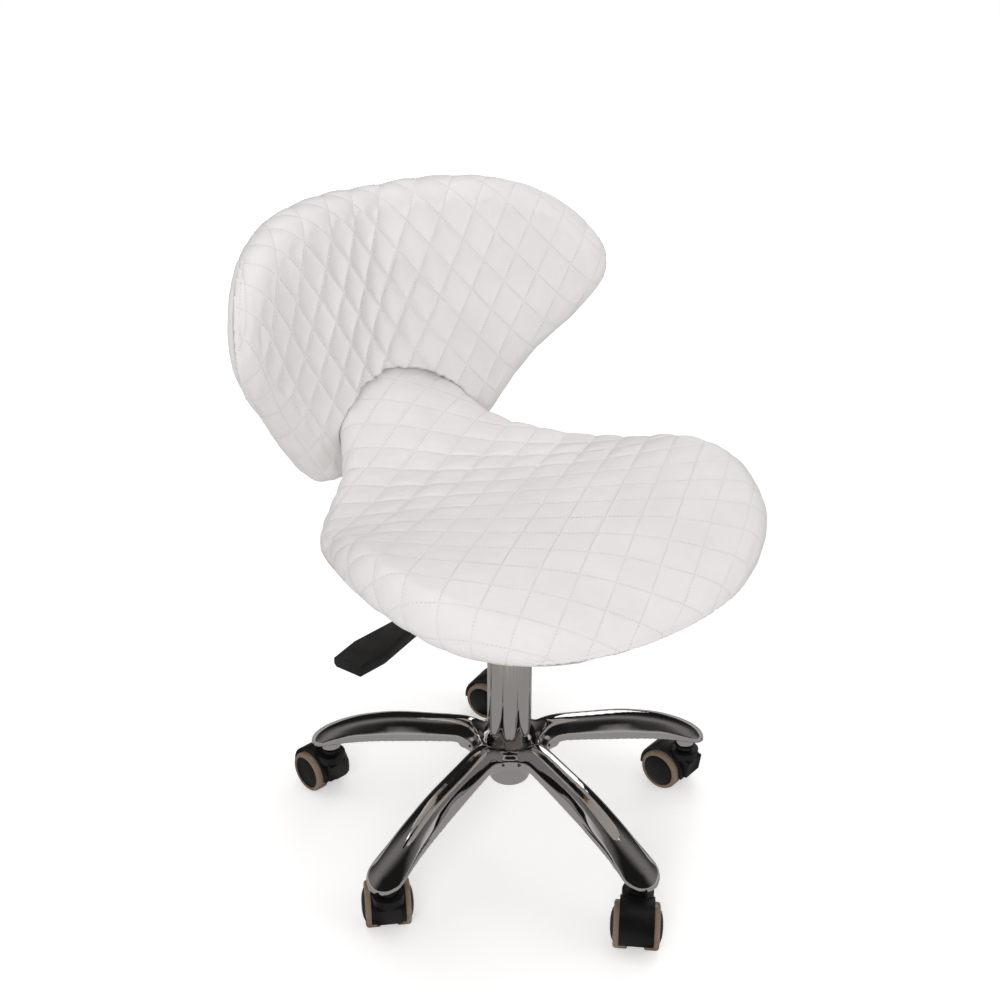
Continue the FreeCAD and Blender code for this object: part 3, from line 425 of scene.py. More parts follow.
# Seat form
seatShape = {
    # Along the middle: y, height of the top, height where the top rolls over, half width there.
    "middle": [(-245, 391.0, 391.0, 42), (-239, 399.0, 400.5, 80), (-229, 407.0, 410.0, 112),
               (-213, 419.5, 422.5, 141), (-189, 434.0, 436.0, 166), (-154, 443.5, 448.5, 188),
               (-115, 445.0, 457.5, 206), (-75, 444.0, 461.0, 211), (-30, 443.0, 456.5, 207), (10, 440.0, 444.0, 198),
               (45, 437.5, 434.0, 186), (78, 436.0, 431.0, 162), (112, 439.0, 437.5, 126), (145, 453.0, 445.0, 97),
               (175, 471.0, 460.0, 79), (207, 490.0, 481.0, 64), (231, 501.0, 495.0, 50), (244, 502.5, 499.0, 42),
               (250, 502.5, 499.0, 38)],
    # Seam seen from above, right half: x, y, how far in the roll starts, height of the seam.
    "seam": [(0, -245.5, 18, 377), (51, -245, 18, 379.5), (95, -236.5, 17, 382), (128, -224.5, 15, 384),
             (158, -204, 11, 385.5), (180, -175, 6, 387.5), (197, -144, 5.5, 395), (211.5, -110, 7, 406.5),
             (222, -72, 14, 414), (223, -30, 18, 418), (216, 10, 18, 417), (203, 50, 15, 413.5),
             (176, 84, 12, 407.5), (137, 114, 10, 405), (107, 145, 8, 410), (86, 175, 6, 424), (72, 207, 8, 442),
             (60, 225, 12, 455), (42, 239, 15, 464.5), (20, 247, 17, 471), (0, 249.5, 17, 475)],
    "underside": [(-245, 375.5), (-189, 378.5), (-154, 381.5), (-115, 384.5), (-75, 386.5), (10, 388.0), (78, 388.5),
                  (112, 391.0), (145, 402.0), (175, 418.0), (207, 438.0), (231, 456.0), (250, 474.5)],
    "underLift": 1.5,
}


def seatForm(shape):
    middle = np.array(shape["middle"], float) * mm
    topZ, rollZ, rollX = (smoothLine(middle[:, 0], middle[:, k]) for k in (1, 2, 3))

    def height(x, y):
        return topZ(y) + (rollZ(y) - topZ(y)) * (x / rollX(y)) ** 2
    ys = np.linspace(middle[0, 0], middle[-1, 0], 1200)
    along = np.concatenate([[0], np.cumsum(np.hypot(np.diff(ys), np.diff(topZ(ys))))])
    along -= np.interp(0, ys, along)

    def top(m, inside):
        y = np.interp(m[:, 1], along, ys)
        return np.stack([m[:, 0], y, height(m[:, 0], y)], axis=1)
    half = np.array(shape["seam"], float) * mm
    mirrored = half[-2:0:-1] * [-1, 1, 1, 1]
    loop = closedLine(np.vstack([half, mirrored]), 1600)
    normal = sideways(loop[:, :2])
    crown = loop[:, :2] - normal * loop[:, 2:3]
    z = height(crown[:, 0], crown[:, 1])
    inner = crown - normal * 3 * mm
    slope = np.arctan2(height(inner[:, 0], inner[:, 1]) - z, 3 * mm)
    radius, length = rollSizes(loop[:, 2], z - loop[:, 3], slope)
    m = np.stack([crown[:, 0], np.interp(crown[:, 1], ys, along)], axis=1)
    zero = np.zeros((len(m), 1))
    rim = {"m": m, "normal": sideways(m), "start": np.hstack([crown, z[:, None]]),
           "out": np.hstack([normal, zero]), "down": np.hstack([zero, zero, zero - 1]),
           "sizes": np.stack([slope, radius, length], axis=1)}
    low = np.array(shape["underside"], float) * mm
    underZ = smoothLine(low[:, 0], low[:, 1])
    seamZ = smoothLine(half[:, 1], half[:, 3])

    def under(m, where):
        # The flat bottom below each place, drawn in from the seam.
        share = np.clip(where["past"] / where["length"], 0, 1)
        flat = top(np.where((where["past"] > 0)[:, None], where["nearest"], m), None)[:, :2]
        reach = np.linalg.norm(where["seamPlace"][:, :2] - flat, axis=1) * share
        spot = flat + where["out"][:, :2] * reach[:, None]
        halfWidth = np.maximum(np.interp(spot[:, 1], half[:, 1], half[:, 0]), 0.03)
        rise = np.clip(np.abs(spot[:, 0]) / halfWidth, 0, 1) ** 2
        z = underZ(spot[:, 1]) * (1 - rise) + seamZ(spot[:, 1]) * rise + shape["underLift"] * mm
        return np.hstack([spot, z[:, None]])
    return {"top": top, "rim": rim, "under": under, "facing": 1}


# Backrest form, bent round an upright axis
backShape = {
    "axisY": -12.0, "radius": 270.0, "tipSine": 250.75,
    # Depth of the pad in front of its board, by the angle round the backrest.
    "depth": [(0, 36), (4, 37.5), (9, 42), (14, 46), (20, 48), (27, 46.5), (34, 42), (42, 36.5), (49, 30.5),
              (54, 26), (62, 20)],
    # Outline seen from the front, right half: x, z, how far in the roll starts.
    "outline": [(0, 706, 15), (72, 705.5, 15), (143, 699, 15), (186, 676.5, 15), (209.5, 641, 16), (215.5, 612, 17),
                (211.5, 581, 16), (194, 541, 15), (168, 504, 14), (152, 477, 14), (136, 450, 13), (123, 430, 13),
                (111, 413, 12), (100, 403, 11), (84, 399.3, 9), (64, 399, 8), (43, 399, 8), (21, 399, 8),
                (0, 399, 8)],
    "edgeDrop": 9.0, "edgeFade": 32.0, "backLift": 0.2, "wrap": 9.3, "side": 1, "inset": 0.0,
}
# The plain leather cover on the back of the backrest.
coverShape = dict(backShape, depth=[(angle, -16.8) for angle, deep in backShape["depth"]], edgeDrop=0.0, wrap=9.6,
                  side=-1, inset=5.0, insetRoll=6.0, backLift=-8.9, barRoom=(31.0, 477.0, 273.4))


def backForm(shape):
    depth = np.array(shape["depth"], float)
    side = shape["side"]
    angles = np.radians(np.concatenate([-depth[:0:-1, 0], depth[:, 0]]))
    deep = smoothLine(angles, np.concatenate([depth[:0:-1, 1], depth[:, 1]]) * mm)
    fine = np.linspace(angles[0], angles[-1], 2401)
    window = np.hanning(121)
    softened = np.convolve(np.pad(deep(fine), 60, mode="edge"), window / window.sum(), mode="same")[60:-60]
    radius, axisY = shape["radius"] * mm, shape["axisY"] * mm
    r = radius - softened
    along = np.concatenate([[0], np.cumsum(np.hypot(np.diff(r), 0.5 * (r[1:] + r[:-1]) * np.diff(fine)))])
    along -= np.interp(0, fine, along)

    def top(m, inside):
        angle = np.interp(m[:, 0], along, fine)
        dropped = shape["edgeDrop"] * mm * np.exp(-inside / (shape["edgeFade"] * mm))
        reach = radius - np.interp(angle, fine, softened) + dropped
        return np.stack([reach * np.sin(angle), axisY + reach * np.cos(angle), m[:, 1]], axis=1)
    half = np.array(shape["outline"], float) * mm
    mirrored = half[-2:0:-1] * [-1, 1, 1]
    loop = closedLine(np.vstack([half, mirrored]), 1600)
    if shape["inset"]:
        loop[:, :2] += sideways(loop[:, :2], 6) * shape["inset"] * mm
        loop[:, 2] = shape["insetRoll"] * mm
    angle = np.arcsin(np.clip(loop[:, 0] / (shape["tipSine"] * mm), -0.999, 0.999))
    seam = np.stack([np.interp(angle, fine, along), loop[:, 1]], axis=1)
    normal = -sideways(seam)
    m = seam - normal * loop[:, 2:3]
    none = np.zeros(len(m))
    start = top(m, none)
    crownAngle = np.interp(m[:, 0], along, fine)
    seamRadius = radius + shape["wrap"] * mm
    seamPlace = np.stack([seamRadius * np.sin(angle), axisY + seamRadius * np.cos(angle), loop[:, 1]], axis=1)
    down = np.stack([np.sin(crownAngle), np.cos(crownAngle), none], axis=1) * side
    gone = seamPlace - start
    depthThere = (gone * down).sum(1)
    flat = gone - down * depthThere[:, None]
    out = unit(flat)
    inner = top(m - normal * 3 * mm, none + 3 * mm)
    back = start - inner
    slope = np.arctan2((back * down).sum(1), (back * out).sum(1))
    rollRadius, length = rollSizes(np.linalg.norm(flat, axis=1), depthThere, slope)
    rim = {"m": m, "normal": -sideways(m), "start": start, "out": out, "down": down,
           "sizes": np.stack([slope, rollRadius, length], axis=1)}

    def under(m, where):
        # The board's face behind each place, reaching the seam at the rim.
        share = np.clip(where["past"] / where["length"], 0, 1)[:, None]
        spot = top(np.where((where["past"] > 0)[:, None], where["nearest"], m), none[:1])
        spot = spot * (1 - share) + where["seamPlace"] * share
        turn = np.arctan2(spot[:, 0], spot[:, 1] - axisY)
        reach = radius - shape["backLift"] * mm + (shape["wrap"] + shape["backLift"]) * mm * share[:, 0]
        if "barRoom" in shape:
            wide, high, y = (v * mm for v in shape["barRoom"])
            inRoom = (np.abs(spot[:, 0]) < wide) & (spot[:, 2] < high)
            reach = np.where(inRoom, np.maximum(reach, (y - axisY) / np.cos(turn)), reach)
        return np.stack([reach * np.sin(turn), axisY + reach * np.cos(turn), spot[:, 2]], axis=1)
    return {"top": top, "rim": rim, "under": under, "facing": -side}


# How hard the foam pushes, in the solver's own units, and how far a point may go.
swellLook = {"frames": 18, "capMm": 1.5, "seatPressure": 60.0, "backPressure": 200.0}
clothLook = {
    "quality": 5, "mass": 0.4, "tension_stiffness": 25, "compression_stiffness": 25, "shear_stiffness": 12,
    "bending_stiffness": 0.6, "tension_damping": 12, "compression_damping": 12, "air_damping": 3,
    "vertex_group_mass": "held", "pin_stiffness": 1.0, "vertex_group_shrink": "loose", "shrink_min": 0.0,
    "shrink_max": -0.03, "use_pressure": True,
}


def swell(cover, pressure):
    # Foam pushes the stitched cover out between its lines: a cloth run with the lines and the edge
    # held. The faces along the seam stay out of it: their short sides would stop the cloth moving.
    inner = cover["quads"][~cover["border"][cover["quads"]].any(axis=1)]
    used, faces = np.unique(inner, return_inverse=True)
    faces = faces.reshape(-1, 4)
    places, held = cover["places"][used], cover["onLine"][used]
    held[openPoints(faces)] = True
    thing = newObject(cover["name"] + "Sim", places, faces)
    thing.vertex_groups.new(name="held").add(np.nonzero(held)[0].tolist(), 1.0, "REPLACE")
    loose = thing.vertex_groups.new(name="loose")
    share = np.clip(cover["plump"][used] / cover["plump"].max(), 0, 1)
    for tenth in range(11):
        loose.add(np.nonzero(np.round(share * 10) == tenth)[0].tolist(), tenth / 10, "REPLACE")
    cloth = thing.modifiers.new("Cloth", "CLOTH")
    for key, value in clothLook.items():
        setattr(cloth.settings, key, value)
    cloth.settings.uniform_pressure_force = pressure
    cloth.settings.effector_weights.gravity = 0
    cloth.collision_settings.use_collision = False
    cloth.point_cache.frame_start, cloth.point_cache.frame_end = 1, swellLook["frames"]
    scene = bpy.context.scene
    for moment in range(1, swellLook["frames"] + 1):
        scene.frame_set(moment)
    flatten(thing)
    after = np.empty(len(used) * 3)
    thing.data.vertices.foreach_get("co", after)
    bpy.data.objects.remove(thing)
    scene.frame_set(1)
    moved = after.reshape(-1, 3) - places
    size = np.linalg.norm(moved, axis=1, keepdims=True)
    print(cover["name"], "cloth moved up to", round(size.max() / mm, 1), "mm, mean", round(size.mean() / mm, 2))
    cover["places"][used] += moved * np.minimum(1, swellLook["capMm"] * mm / np.maximum(size, 1e-9))


def closeCover(cover, material):
    # Joins the stitched face to its underside, makes the mesh finer, and gives it the quilt map.
    where, border, quads = cover["where"], cover["border"], cover["quads"]
    where["seamPlace"] = rollPlace(where, where["length"])
    below = cover["form"]["under"](cover["m"], where)
    lower = np.arange(len(below)) + len(below)
    lower[border] = np.nonzero(border)[0]
    faces = np.vstack([quads, lower[quads][:, ::-1]])
    if cover["form"]["facing"] < 0:
        faces = faces[:, ::-1]
    thing = newObject(cover["name"], np.vstack([cover["places"], below]), faces, material)
    layer = thing.data.uv_layers.new(name="quilt")
    loops = np.empty(len(thing.data.loops), int)
    thing.data.loops.foreach_get("vertex_index", loops)
    layer.data.foreach_set("uv", np.vstack([cover["pq"]] * 2)[loops].astype(np.float32).ravel())
    # Loose points go, and every face turns outwards.
    work = bmesh.new()
    work.from_mesh(thing.data)
    bmesh.ops.delete(work, geom=[v for v in work.verts if not v.link_faces], context="VERTS")
    bmesh.ops.recalc_face_normals(work, faces=work.faces)
    work.to_mesh(thing.data)
    work.free()
    finer = thing.modifiers.new("Finer", "SUBSURF")
    finer.levels = finer.render_levels = 1
    finer.uv_smooth = "NONE"
    return flatten(thing)


def linePaths(cover, cuts):
    # The stitch lines of a cover as runs of places, for the thread to follow.
    steps = np.round(cover["pq"] * cuts).astype(int)
    places, normals = cover["places"], cover["normals"]
    inside = cover["where"]["length"] - cover["where"]["past"] > 5 * mm
    paths = []
    for fixed in (0, 1):
        moving = 1 - fixed
        on = [i for i in range(len(steps)) if steps[i, fixed] % cuts == 0 and inside[i]]
        byLine = {}
        for i in on:
            byLine.setdefault(steps[i, fixed], []).append(i)
        for members in byLine.values():
            members.sort(key=lambda i: steps[i, moving])
            run = [members[0]]
            for i in members[1:]:
                if steps[i, moving] - steps[run[-1], moving] > 1:
                    paths.append(run)
                    run = []
                run.append(i)
            paths.append(run)
    return [(places[p], normals[p]) for p in paths if len(p) > 3]


def borderPath(cover, inset, sink):
    rim = cover["form"]["rim"]
    pick = np.arange(0, len(rim["m"]), 4)
    past = rim["sizes"][pick, 2] - inset * mm
    m = rim["m"][pick] + rim["normal"][pick] * past[:, None]
    where = rimPlace(rim, m)
    where["past"] = where["length"] - inset * mm
    places, normals = coverPlace(cover["form"], m, where)
    return places - normals * sink * mm, normals


def pathObject(name, paths, closed=()):
    vertices, edges, ups = [], [], []
    for number, (places, normals) in enumerate(paths):
        base = len(vertices)
        vertices.extend(places)
        ups.extend(normals)
        edges.extend((base + i, base + i + 1) for i in range(len(places) - 1))
        if number in closed:
            edges.append((base + len(places) - 1, base))
    mesh = bpy.data.meshes.new(name)
    mesh.from_pydata([tuple(v) for v in vertices], edges, [])
    up = mesh.attributes.new("up", "FLOAT_VECTOR", "POINT")
    up.data.foreach_set("vector", np.array(ups, np.float32).ravel())
    return placed(name, mesh)


def newTree(name, sizes):
    # A Geometry Nodes group with a named input for each size, and one for the material.
    tree = bpy.data.node_groups.new(name, "GeometryNodeTree")
    tree.interface.new_socket("Geometry", in_out="INPUT", socket_type="NodeSocketGeometry")
    for size, value in sizes.items():
        tree.interface.new_socket(size, in_out="INPUT", socket_type="NodeSocketFloat").default_value = value
    tree.interface.new_socket("Material", in_out="INPUT", socket_type="NodeSocketMaterial")
    tree.interface.new_socket("Geometry", in_out="OUTPUT", socket_type="NodeSocketGeometry")
    return tree, addNode(tree, "NodeGroupInput").outputs


def endTree(tree, shape, given):
    real = addNode(tree, "GeometryNodeRealizeInstances", inputs={"Geometry": shape})
    painted = addNode(tree, "GeometryNodeSetMaterial", inputs={"Geometry": real, "Material": given["Material"]})
    addNode(tree, "NodeGroupOutput", inputs={"Geometry": painted})
    return tree


def stitchTree(sizes):
    # A thread capsule at every step of a path, lying along it and facing up.
    tree, given = newTree("sewnStitches", sizes)
    curve = addNode(tree, "GeometryNodeMeshToCurve", inputs={"Mesh": given["Geometry"]})
    even = addNode(tree, "GeometryNodeResampleCurve", {"mode": "LENGTH"}, {"Curve": curve, "Length": given["Pitch"]})
    tangent = addNode(tree, "GeometryNodeInputTangent")
    up = addNode(tree, "GeometryNodeInputNamedAttribute", {"data_type": "FLOAT_VECTOR"}, {"Name": "up"})
    along = addNode(tree, "FunctionNodeAlignRotationToVector", {"axis": "Z"}, {"Vector": tangent})
    facing = addNode(tree, "FunctionNodeAlignRotationToVector", {"axis": "X", "pivot_axis": "Z"},
                     {"Rotation": along, "Vector": up})
    ball = addNode(tree, "GeometryNodeMeshUVSphere", inputs={"Segments": 6, "Rings": 5, "Radius": 0.5})
    soft = addNode(tree, "GeometryNodeSetShadeSmooth", inputs={"Geometry": ball})
    size = addNode(tree, "ShaderNodeCombineXYZ",
                   inputs={"X": given["Thread"], "Y": given["Thread"], "Z": given["Length"]})
    raised = addNode(tree, "ShaderNodeVectorMath", {"operation": "SCALE"}, {0: up, "Scale": given["Proud"]})
    lifted = addNode(tree, "GeometryNodeSetPosition", inputs={"Geometry": even, "Offset": raised})
    sewn = addNode(tree, "GeometryNodeInstanceOnPoints", inputs={
        "Points": lifted, "Instance": soft, "Rotation": facing, "Scale": size})
    return endTree(tree, sewn, given)


def runTree(thing, tree, values):
    worker = thing.modifiers.new("Nodes", "NODES")
    worker.node_group = tree
    for item in tree.interface.items_tree:
        if item.item_type == "SOCKET" and item.in_out == "INPUT" and item.name in values:
            worker[item.identifier] = values[item.name]
    return flatten(thing)


# A quilt: steps along its two stitch directions, one crossing's place, how far the pulled leather bows the
# lines, how deep they are sunk, and where the foam is fuller: x, y, width, gain.
seatQuilt = {
    "first": (30.4, 21.0), "second": (30.4, -21.0), "origin": (1.5, -10.0),
    "bow": [(0.2, 0.0), (0.0, 0.3), (-0.2, 0.0)],
    "cuts": 9, "sunkMm": 2.4, "proudMm": 2.2, "power": 0.5, "hemMm": 12.0, "plump": 0.3,
    "fuller": [(-85, 62, 95, 0.7), (85, 62, 95, 0.7), (0, 130, 85, 0.4), (-160, -20, 75, 0.45),
               (160, -20, 75, 0.45)],
}
backQuilt = {
    "first": (23.5, -29.8), "second": (-14.4, -29.8), "origin": (-3.3, 614.7),
    "bow": [(-0.06, 0.27), (-0.16, -0.57), (-0.11, 0.04)],
    "cuts": 9, "sunkMm": 2.4, "proudMm": 2.4, "power": 0.5, "hemMm": 12.0, "plump": 0.38,
    "fuller": [(0, 600, 85, 1.2), (0, 525, 75, 0.8), (-60, 640, 65, 0.55), (60, 640, 65, 0.55)],
}
plainQuilt = {
    "first": (5.0, 0.0), "second": (0.0, 5.0), "origin": (0.0, 560.0), "bow": [], "cuts": 1,
    "sunkMm": 0.0, "proudMm": 0.0, "power": 1.0, "hemMm": 12.0, "plump": 0.0, "fuller": [],
}

seatCover = makeCover("seatCushionCover", seatForm(seatShape), seatQuilt)
print("seat cover", len(seatCover["m"]), "points")
backCover = makeCover("backPadCover", backForm(backShape), backQuilt)
print("back cover", len(backCover["m"]), "points")
swell(seatCover, swellLook["seatPressure"])
swell(backCover, swellLook["backPressure"])

seatPiece = closeCover(seatCover, quiltedLeather)
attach(seatPiece, "seat")
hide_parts("seat_cushion")


# Where the tongue may stand in the pad: below and halfWidth bound it, and rays look for the tongue from before
# the pad over the reach, with a skip past each face. Metres.
roomLook = {"below": 0.52, "halfWidth": 0.11, "before": 0.12, "reach": 0.4, "skip": 1e-4, "clearMm": 1.2}


def makeRoom(cover, other):
    # Pushes the pad back where the seat's tongue stands in it.
    tree = BVHTree.FromObject(other, bpy.context.evaluated_depsgraph_get())
    axis = Vector((0, backShape["axisY"] * mm, 0))
    places = cover["places"]
    for i, p in enumerate(places):
        if p[2] > roomLook["below"] or abs(p[0]) > roomLook["halfWidth"]:
            continue
        spot = Vector(p)
        away = Vector((spot.x, spot.y - axis.y, 0)).normalized()
        probe, last = spot - away * roomLook["before"], None
        while (hit := tree.ray_cast(probe, away, roomLook["reach"])[0]) is not None:
            last, probe = hit, hit + away * roomLook["skip"]
        if last is not None:
            wanted = last + away * (roomLook["clearMm"] * mm)
            if (wanted - spot).dot(away) > 0:
                places[i] = np.array(wanted)


makeRoom(backCover, seatPiece)
backPiece = closeCover(backCover, quiltedLeather)
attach(backPiece, "seat")
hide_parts("back_pad")
rearCover = makeCover("backCoverPanel", backForm(coverShape), plainQuilt)
rearPiece = closeCover(rearCover, plainLeather)
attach(rearPiece, "seat")
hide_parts("back_cover")
print("covers closed")

stitchLook = {"Pitch": 0.00417, "Thread": 0.0007, "Length": 0.0028, "Proud": 0.0001}
hemStitch = {"insetMm": 7.0, "sunkMm": 0.1}
stitching = stitchTree(stitchLook)
for name, cover, quilt in (("seat", seatCover, seatQuilt), ("back", backCover, backQuilt)):
    paths = linePaths(cover, quilt["cuts"])
    edge = borderPath(cover, hemStitch["insetMm"], hemStitch["sunkMm"])
    lines = pathObject(name + "Stitches", paths + [edge], closed=(len(paths),))
    stitches = runTree(lines, stitching, dict(stitchLook, Material=thread))
    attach(stitches, "seat")
    print(name, "stitches", len(stitches.data.polygons), "faces")


def edgingTree(sizes):
    # A flat strip swept along a path, thin across the leather and deep along it.
    tree, given = newTree("cutEdgeStrip", sizes)
    curve = addNode(tree, "GeometryNodeMeshToCurve", inputs={"Mesh": given["Geometry"]})
    upright = addNode(tree, "GeometryNodeSetCurveNormal", {"mode": "Z_UP"}, {"Curve": curve})
    profile = addNode(tree, "GeometryNodeCurvePrimitiveQuadrilateral",
                      inputs={"Width": given["Thick"], "Height": given["Deep"]})
    strip = addNode(tree, "GeometryNodeCurveToMesh", inputs={
        "Curve": upright, "Profile Curve": profile, "Fill Caps": True})
    return endTree(tree, strip, given)


# The cover's cut edge under the seat. It lies further in, except at the front corners, where it shows.
edgeLook = {"inset": 5.0, "cornerInset": 1.4, "corner": (130, 185), "drop": 0.6, "waveMm": 0.4}
edgeSizes = {"Thick": 0.0014, "Deep": 0.0028}
rim = seatCover["form"]["rim"]
pick = np.arange(0, len(rim["m"]), 6)
where = {key: rim[key][pick] for key in ("start", "out", "down")}
where["slope"], where["radius"], length = rim["sizes"][pick].T
share = np.interp(np.abs(where["start"][:, 0]) / mm, edgeLook["corner"], (0, 1))
drawnIn = edgeLook["inset"] + (edgeLook["cornerInset"] - edgeLook["inset"]) * share
seamLine = rollPlace(where, length) - where["out"] * drawnIn[:, None] * mm + where["down"] * edgeLook["drop"] * mm
count = np.arange(len(pick))
seamLine[:, 2] += edgeLook["waveMm"] * mm * (np.sin(count * 0.9) + 0.6 * np.sin(count * 2.3 + 1))
edging = pathObject("seatCutEdge", [(seamLine, np.tile([0.0, 0, 1], (len(pick), 1)))], closed=(0,))
edging = runTree(edging, edgingTree(edgeSizes), dict(edgeSizes, Material=rawEdge))
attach(edging, "seat")


# Hard pieces: a merged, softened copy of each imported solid
def mergedCopy(node, ending):
    thing = placed(node + ending, nodes[node].data.copy())
    work = bmesh.new()
    work.from_mesh(thing.data)
    bmesh.ops.remove_doubles(work, verts=work.verts, dist=0.02 * mm)
    if ending == "_dressed":
        bmesh.ops.dissolve_limit(work, angle_limit=math.radians(0.5), verts=work.verts, edges=work.edges)
    work.to_mesh(thing.data)
    work.free()
    return thing


def coat(thing, material):
    thing.data.materials.clear()
    thing.data.materials.append(material)
    smoothFaces(thing.data)


def standFor(node, thing):
    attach(thing, nodes[node]["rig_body"])
    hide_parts(node)


def recast(node, material, grid, passes):
    # A polished casting has no edge left: its skin is rebuilt on a fine grid and smoothed.
    thing = mergedCopy(node, "_recast")
    remesh = thing.modifiers.new("Grid", "REMESH")
    remesh.mode = "VOXEL"
    remesh.voxel_size = grid * mm
    smooth = thing.modifiers.new("Polish", "SMOOTH")
    smooth.factor = 0.5
    smooth.iterations = passes
    flatten(thing)
    coat(thing, material)
    standFor(node, thing)
    print(thing.name, len(thing.data.polygons), "faces")


def dress(node, material, bevel, angle=math.radians(32.0)):
    # Edges sharper than the angle get a narrow round, in millimetres, as moulds and tumbling leave.
    thing = mergedCopy(node, "_dressed")
    coat(thing, material)
    if bevel:
        soft = thing.modifiers.new("Soft", "BEVEL")
        soft.width = bevel * mm
        soft.segments = 2
        soft.limit_method = "ANGLE"
        soft.angle_limit = angle
        soft.harden_normals = True
        flatten(thing)
    thing.data.set_sharp_from_angle(angle=angle)
    standFor(node, thing)


recast("star_base", chrome, 1.7, 26)
steelPieces = ["pressure_tube", "mechanism_plate", "mechanism_cone", "lever_pivot", "back_bracket", "lever_rod"]
hardPieces = [
    (["column_tube"], chromeTube, "chrome", 0.5),
    (steelPieces, powderCoat, "black_steel", 0.4),
    (["guide_bush", "lever_handle"], blackNylon, "black_plastic", 0.5),
    (["seat_board", "back_board"], plywood, "plywood", 0.0),
]
for names, material, slot, bevel in hardPieces:
    for node in names:
        dress(node, material, bevel)
for k in range(1, 6):
    dress(f"caster_{k}_housing", blackNylon, 0.8)
    for side in "ab":
        dress(f"caster_{k}_wheel_{side}_tread", treadUrethane, 0.5)
        dress(f"caster_{k}_wheel_{side}_hub", hubNylon, 0.3)

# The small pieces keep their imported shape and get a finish.
keptPieces = [
    (zinc, ["caster_stems", "stem_grip_rings", "thrust_washer", "thrust_bearing", "retaining_clip", "piston_rod",
            "release_button", "plate_bolts", "tee_nuts", "back_bolts", "bracket_screws"]),
    (zinc, [f"caster_{k}_axle" for k in range(1, 6)]),
    (blackNylon, ["caster_sockets", "piston_head"]),
    (liningCloth, ["seat_lining"]),
]
for material, names in keptPieces:
    for node in names:
        nodes[node].data.materials.clear()
        nodes[node].data.materials.append(material)
print("hard pieces dressed")

# Studio: white floor and world, and grey cards that glow and that only the chrome sees: painted reflections, set
# where a product photographer would put flags
stageLook = {"floor": "#f4f3f2", "world": 0.5, "nearGlow": 0.38, "farGlow": 1.0, "clearMetres": (0.7, 2.6)}


def whiteRays(tree):
    # 1 for the rays that are to meet white: the camera's, a mirror's and glass's.
    rays = addNode(tree, "ShaderNodeLightPath").outputs
    seen = rays["Is Camera Ray"]
    for kind in ("Is Glossy Ray", "Is Transmission Ray"):
        seen = addNode(tree, "ShaderNodeMath", {"operation": "MAXIMUM"}, {0: seen, 1: rays[kind]})
    return seen


floorMaterial, tree, spot = newMaterial("studioFloorPaper")
reach = addNode(tree, "ShaderNodeVectorMath", {"operation": "LENGTH"}, {0: spot})
fading = addNode(tree, "ShaderNodeMapRange", gently, {
    "Value": reach.outputs["Value"], "From Min": stageLook["clearMetres"][0],
    "From Max": stageLook["clearMetres"][1], "To Min": stageLook["nearGlow"], "To Max": stageLook["farGlow"]})
paper = addNode(tree, "ShaderNodeBsdfDiffuse", inputs={"Color": fromHex(stageLook["floor"])})
glow = addNode(tree, "ShaderNodeEmission", inputs={"Color": (1, 1, 1, 1), "Strength": fading})
both = addNode(tree, "ShaderNodeAddShader", inputs={0: paper, 1: glow})
picked = addNode(tree, "ShaderNodeMixShader", inputs={"Fac": whiteRays(tree), 1: paper, 2: both})
finishMaterial(floorMaterial, picked)
floor = newObject("studioFloor", [(-6, -6, 0), (6, -6, 0), (6, 6, 0), (-6, 6, 0)], [(0, 1, 2, 3)], floorMaterial)

world = bpy.data.worlds.new("studioWorld")
bpy.context.scene.world = world
world.use_nodes = True
tree = world.node_tree
tree.nodes.clear()
soft, white = (addNode(tree, "ShaderNodeBackground", inputs={"Color": (1, 1, 1, 1), "Strength": strength})
               for strength in (stageLook["world"], 1.0))
mixed = addNode(tree, "ShaderNodeMixShader", inputs={"Fac": whiteRays(tree), 1: soft, 2: white})
addNode(tree, "ShaderNodeOutputWorld", inputs={"Surface": mixed})

# The chrome's painted reflections, from glowing cards that stand in for a dim studio: grey ground, walls darker in
# front and behind than at the sides, dark strips along the arms that are painted shadows and draw out the arms.
# Metres and, for each card's glow, from and to.
flagLook = {
    "radius": 2.9, "steps": 48, "wallHigh": 3.3, "roofHigh": 3.8, "roofHole": 0.25, "dark": 0.015, "bright": 0.22,
    "darkFrom": 53.0, "turn": (0.1, 0.75), "skirt": 0.55, "skirtHigh": 0.45, "groundHigh": 0.0015,
    "groundFrom": 0.5, "groundGlow": (0.4, 0.6), "strip": (0.2, 0.75, 0.028), "stripHigh": 0.003,
    "stripFade": (0.2, 0.8), "stripGlow": (0.0, 0.12),
}


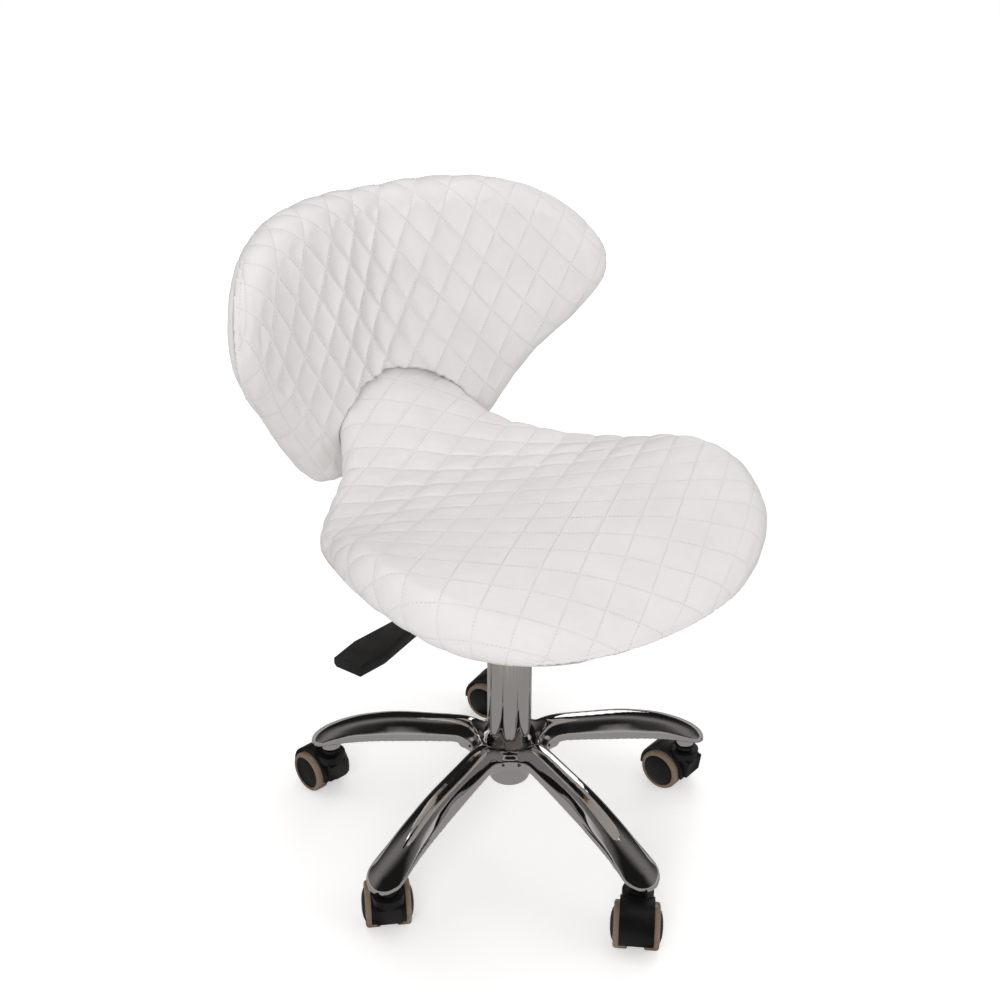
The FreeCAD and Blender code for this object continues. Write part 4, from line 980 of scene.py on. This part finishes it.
def flagMaterial(name, along, span, glow, turned=False):
    # A card that glows evenly, with no lamp on it: its glow is painted reflection light, and only its tone counts.
    # turned adds the walls' change round the stool.
    material, tree, spot = newMaterial(name)
    axes = addNode(tree, "ShaderNodeSeparateXYZ", inputs={"Vector": spot})
    reach = addNode(tree, "ShaderNodeVectorMath", {"operation": "LENGTH"}, {0: spot})
    far = axes.outputs["Z"] if along == "height" else reach.outputs["Value"]
    strength = addNode(tree, "ShaderNodeMapRange", gently, {
        "Value": far, "From Min": span[0], "From Max": span[1], "To Min": glow[0], "To Max": glow[1]})
    if turned:
        away = math.radians(flagLook["darkFrom"])
        heading = (math.cos(away) / flagLook["radius"], math.sin(away) / flagLook["radius"], 0)
        side = addNode(tree, "ShaderNodeVectorMath", {"operation": "DOT_PRODUCT"}, {0: spot, 1: heading})
        flat = addNode(tree, "ShaderNodeMath", {"operation": "ABSOLUTE"}, {0: side.outputs["Value"]})
        wall = addNode(tree, "ShaderNodeMapRange", gently, {
            "Value": flat, "From Min": flagLook["turn"][0], "From Max": flagLook["turn"][1],
            "To Min": flagLook["bright"], "To Max": flagLook["dark"]})
        strength = addNode(tree, "ShaderNodeMath", {"operation": "ADD"}, {0: strength, 1: wall})
    card = addNode(tree, "ShaderNodeEmission", inputs={"Color": (1, 0.975, 0.96, 1), "Strength": strength})
    return finishMaterial(material, card)


def addFlag(name, points, faces, material):
    # Only reflections see it.
    card = newObject(name, points, faces, material)
    for kind in ("camera", "diffuse", "transmission", "volume_scatter", "shadow"):
        setattr(card, "visible_" + kind, False)


steps, radius = flagLook["steps"], flagLook["radius"]
turns = np.radians(np.linspace(0, 360, steps + 1)[:-1])
ring = np.stack([np.cos(turns), np.sin(turns)], axis=1) * radius
rows = ((ring, 0.0), (ring, flagLook["wallHigh"]), (ring * flagLook["roofHole"], flagLook["roofHigh"]))
points = [(x, y, z) for row, z in rows for x, y in row]
faces = [(row + i, row + (i + 1) % steps, row + steps + (i + 1) % steps, row + steps + i)
         for row in (0, steps) for i in range(steps)]
addFlag("wallFlag", points, faces, flagMaterial(
    "wallFlagCard", "height", (0.0, flagLook["skirtHigh"]), (flagLook["skirt"], 0.0), turned=True))
addFlag("groundFlag", [(x, y, flagLook["groundHigh"]) for x, y in ring], [tuple(range(steps))], flagMaterial(
    "groundFlagCard", "reach", (flagLook["groundFrom"], radius), flagLook["groundGlow"]))
# Painted shadow: a dark strip on the reflected ground along each arm, where the arm's shadow would fall.
points, faces = [], []
for k in range(1, 6):
    low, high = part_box(f"caster_{k}_housing")
    heading = unit(np.array([low[0] + high[0], low[1] + high[1]]))
    across = np.array([-heading[1], heading[0]])
    start, end, wide = flagLook["strip"]
    corners = (heading * start + across * wide, heading * start - across * wide, heading * end)
    points += [(*corner, flagLook["stripHigh"]) for corner in corners]
    faces.append((3 * k - 3, 3 * k - 2, 3 * k - 1))
addFlag("paintedArmShadowStrips", points, faces, flagMaterial(
    "paintedArmShadowCard", "reach", flagLook["stripFade"], flagLook["stripGlow"]))


def addLamp(name, place, aim, size, power, mirrored=True):
    lamp = bpy.data.lights.new(name, "AREA")
    lamp.shape = "RECTANGLE"
    lamp.size, lamp.size_y = size
    lamp.energy = power
    thing = placed(name, lamp)
    thing.visible_glossy = mirrored
    thing.location = place
    thing.rotation_euler = (Vector(aim) - Vector(place)).to_track_quat("-Z", "Y").to_euler()


addLamp("keySoftbox", (-1.9, -1.8, 1.5), (0, 0, 0.5), (1.2, 1.2), 30, mirrored=False)
addLamp("fillSoftbox", (1.3, -2.1, 1.4), (0, 0, 0.5), (1.2, 1.2), 8, mirrored=False)
addLamp("topSoftbox", (0.2, 0.2, 2.8), (0, 0, 0.4), (1.6, 1.2), 13)
addLamp("rimSoftbox", (1.9, 1.4, 1.5), (0, 0, 0.4), (0.8, 1.6), 7)

cameraLook = {"place": (-0.8406, -1.0977, 1.10916), "pitch": 63.712, "heading": -37.0, "lens": 52.57}
camera = bpy.data.cameras.new("photoCamera")
camera.lens = cameraLook["lens"]
camera.sensor_width = 36.0
eye = placed("photoCamera", camera)
eye.location = cameraLook["place"]
eye.rotation_euler = (math.radians(cameraLook["pitch"]), 0, math.radians(cameraLook["heading"]))
bpy.context.scene.camera = eye
bpy.context.scene.view_settings.view_transform = "Standard"
print("studio set")
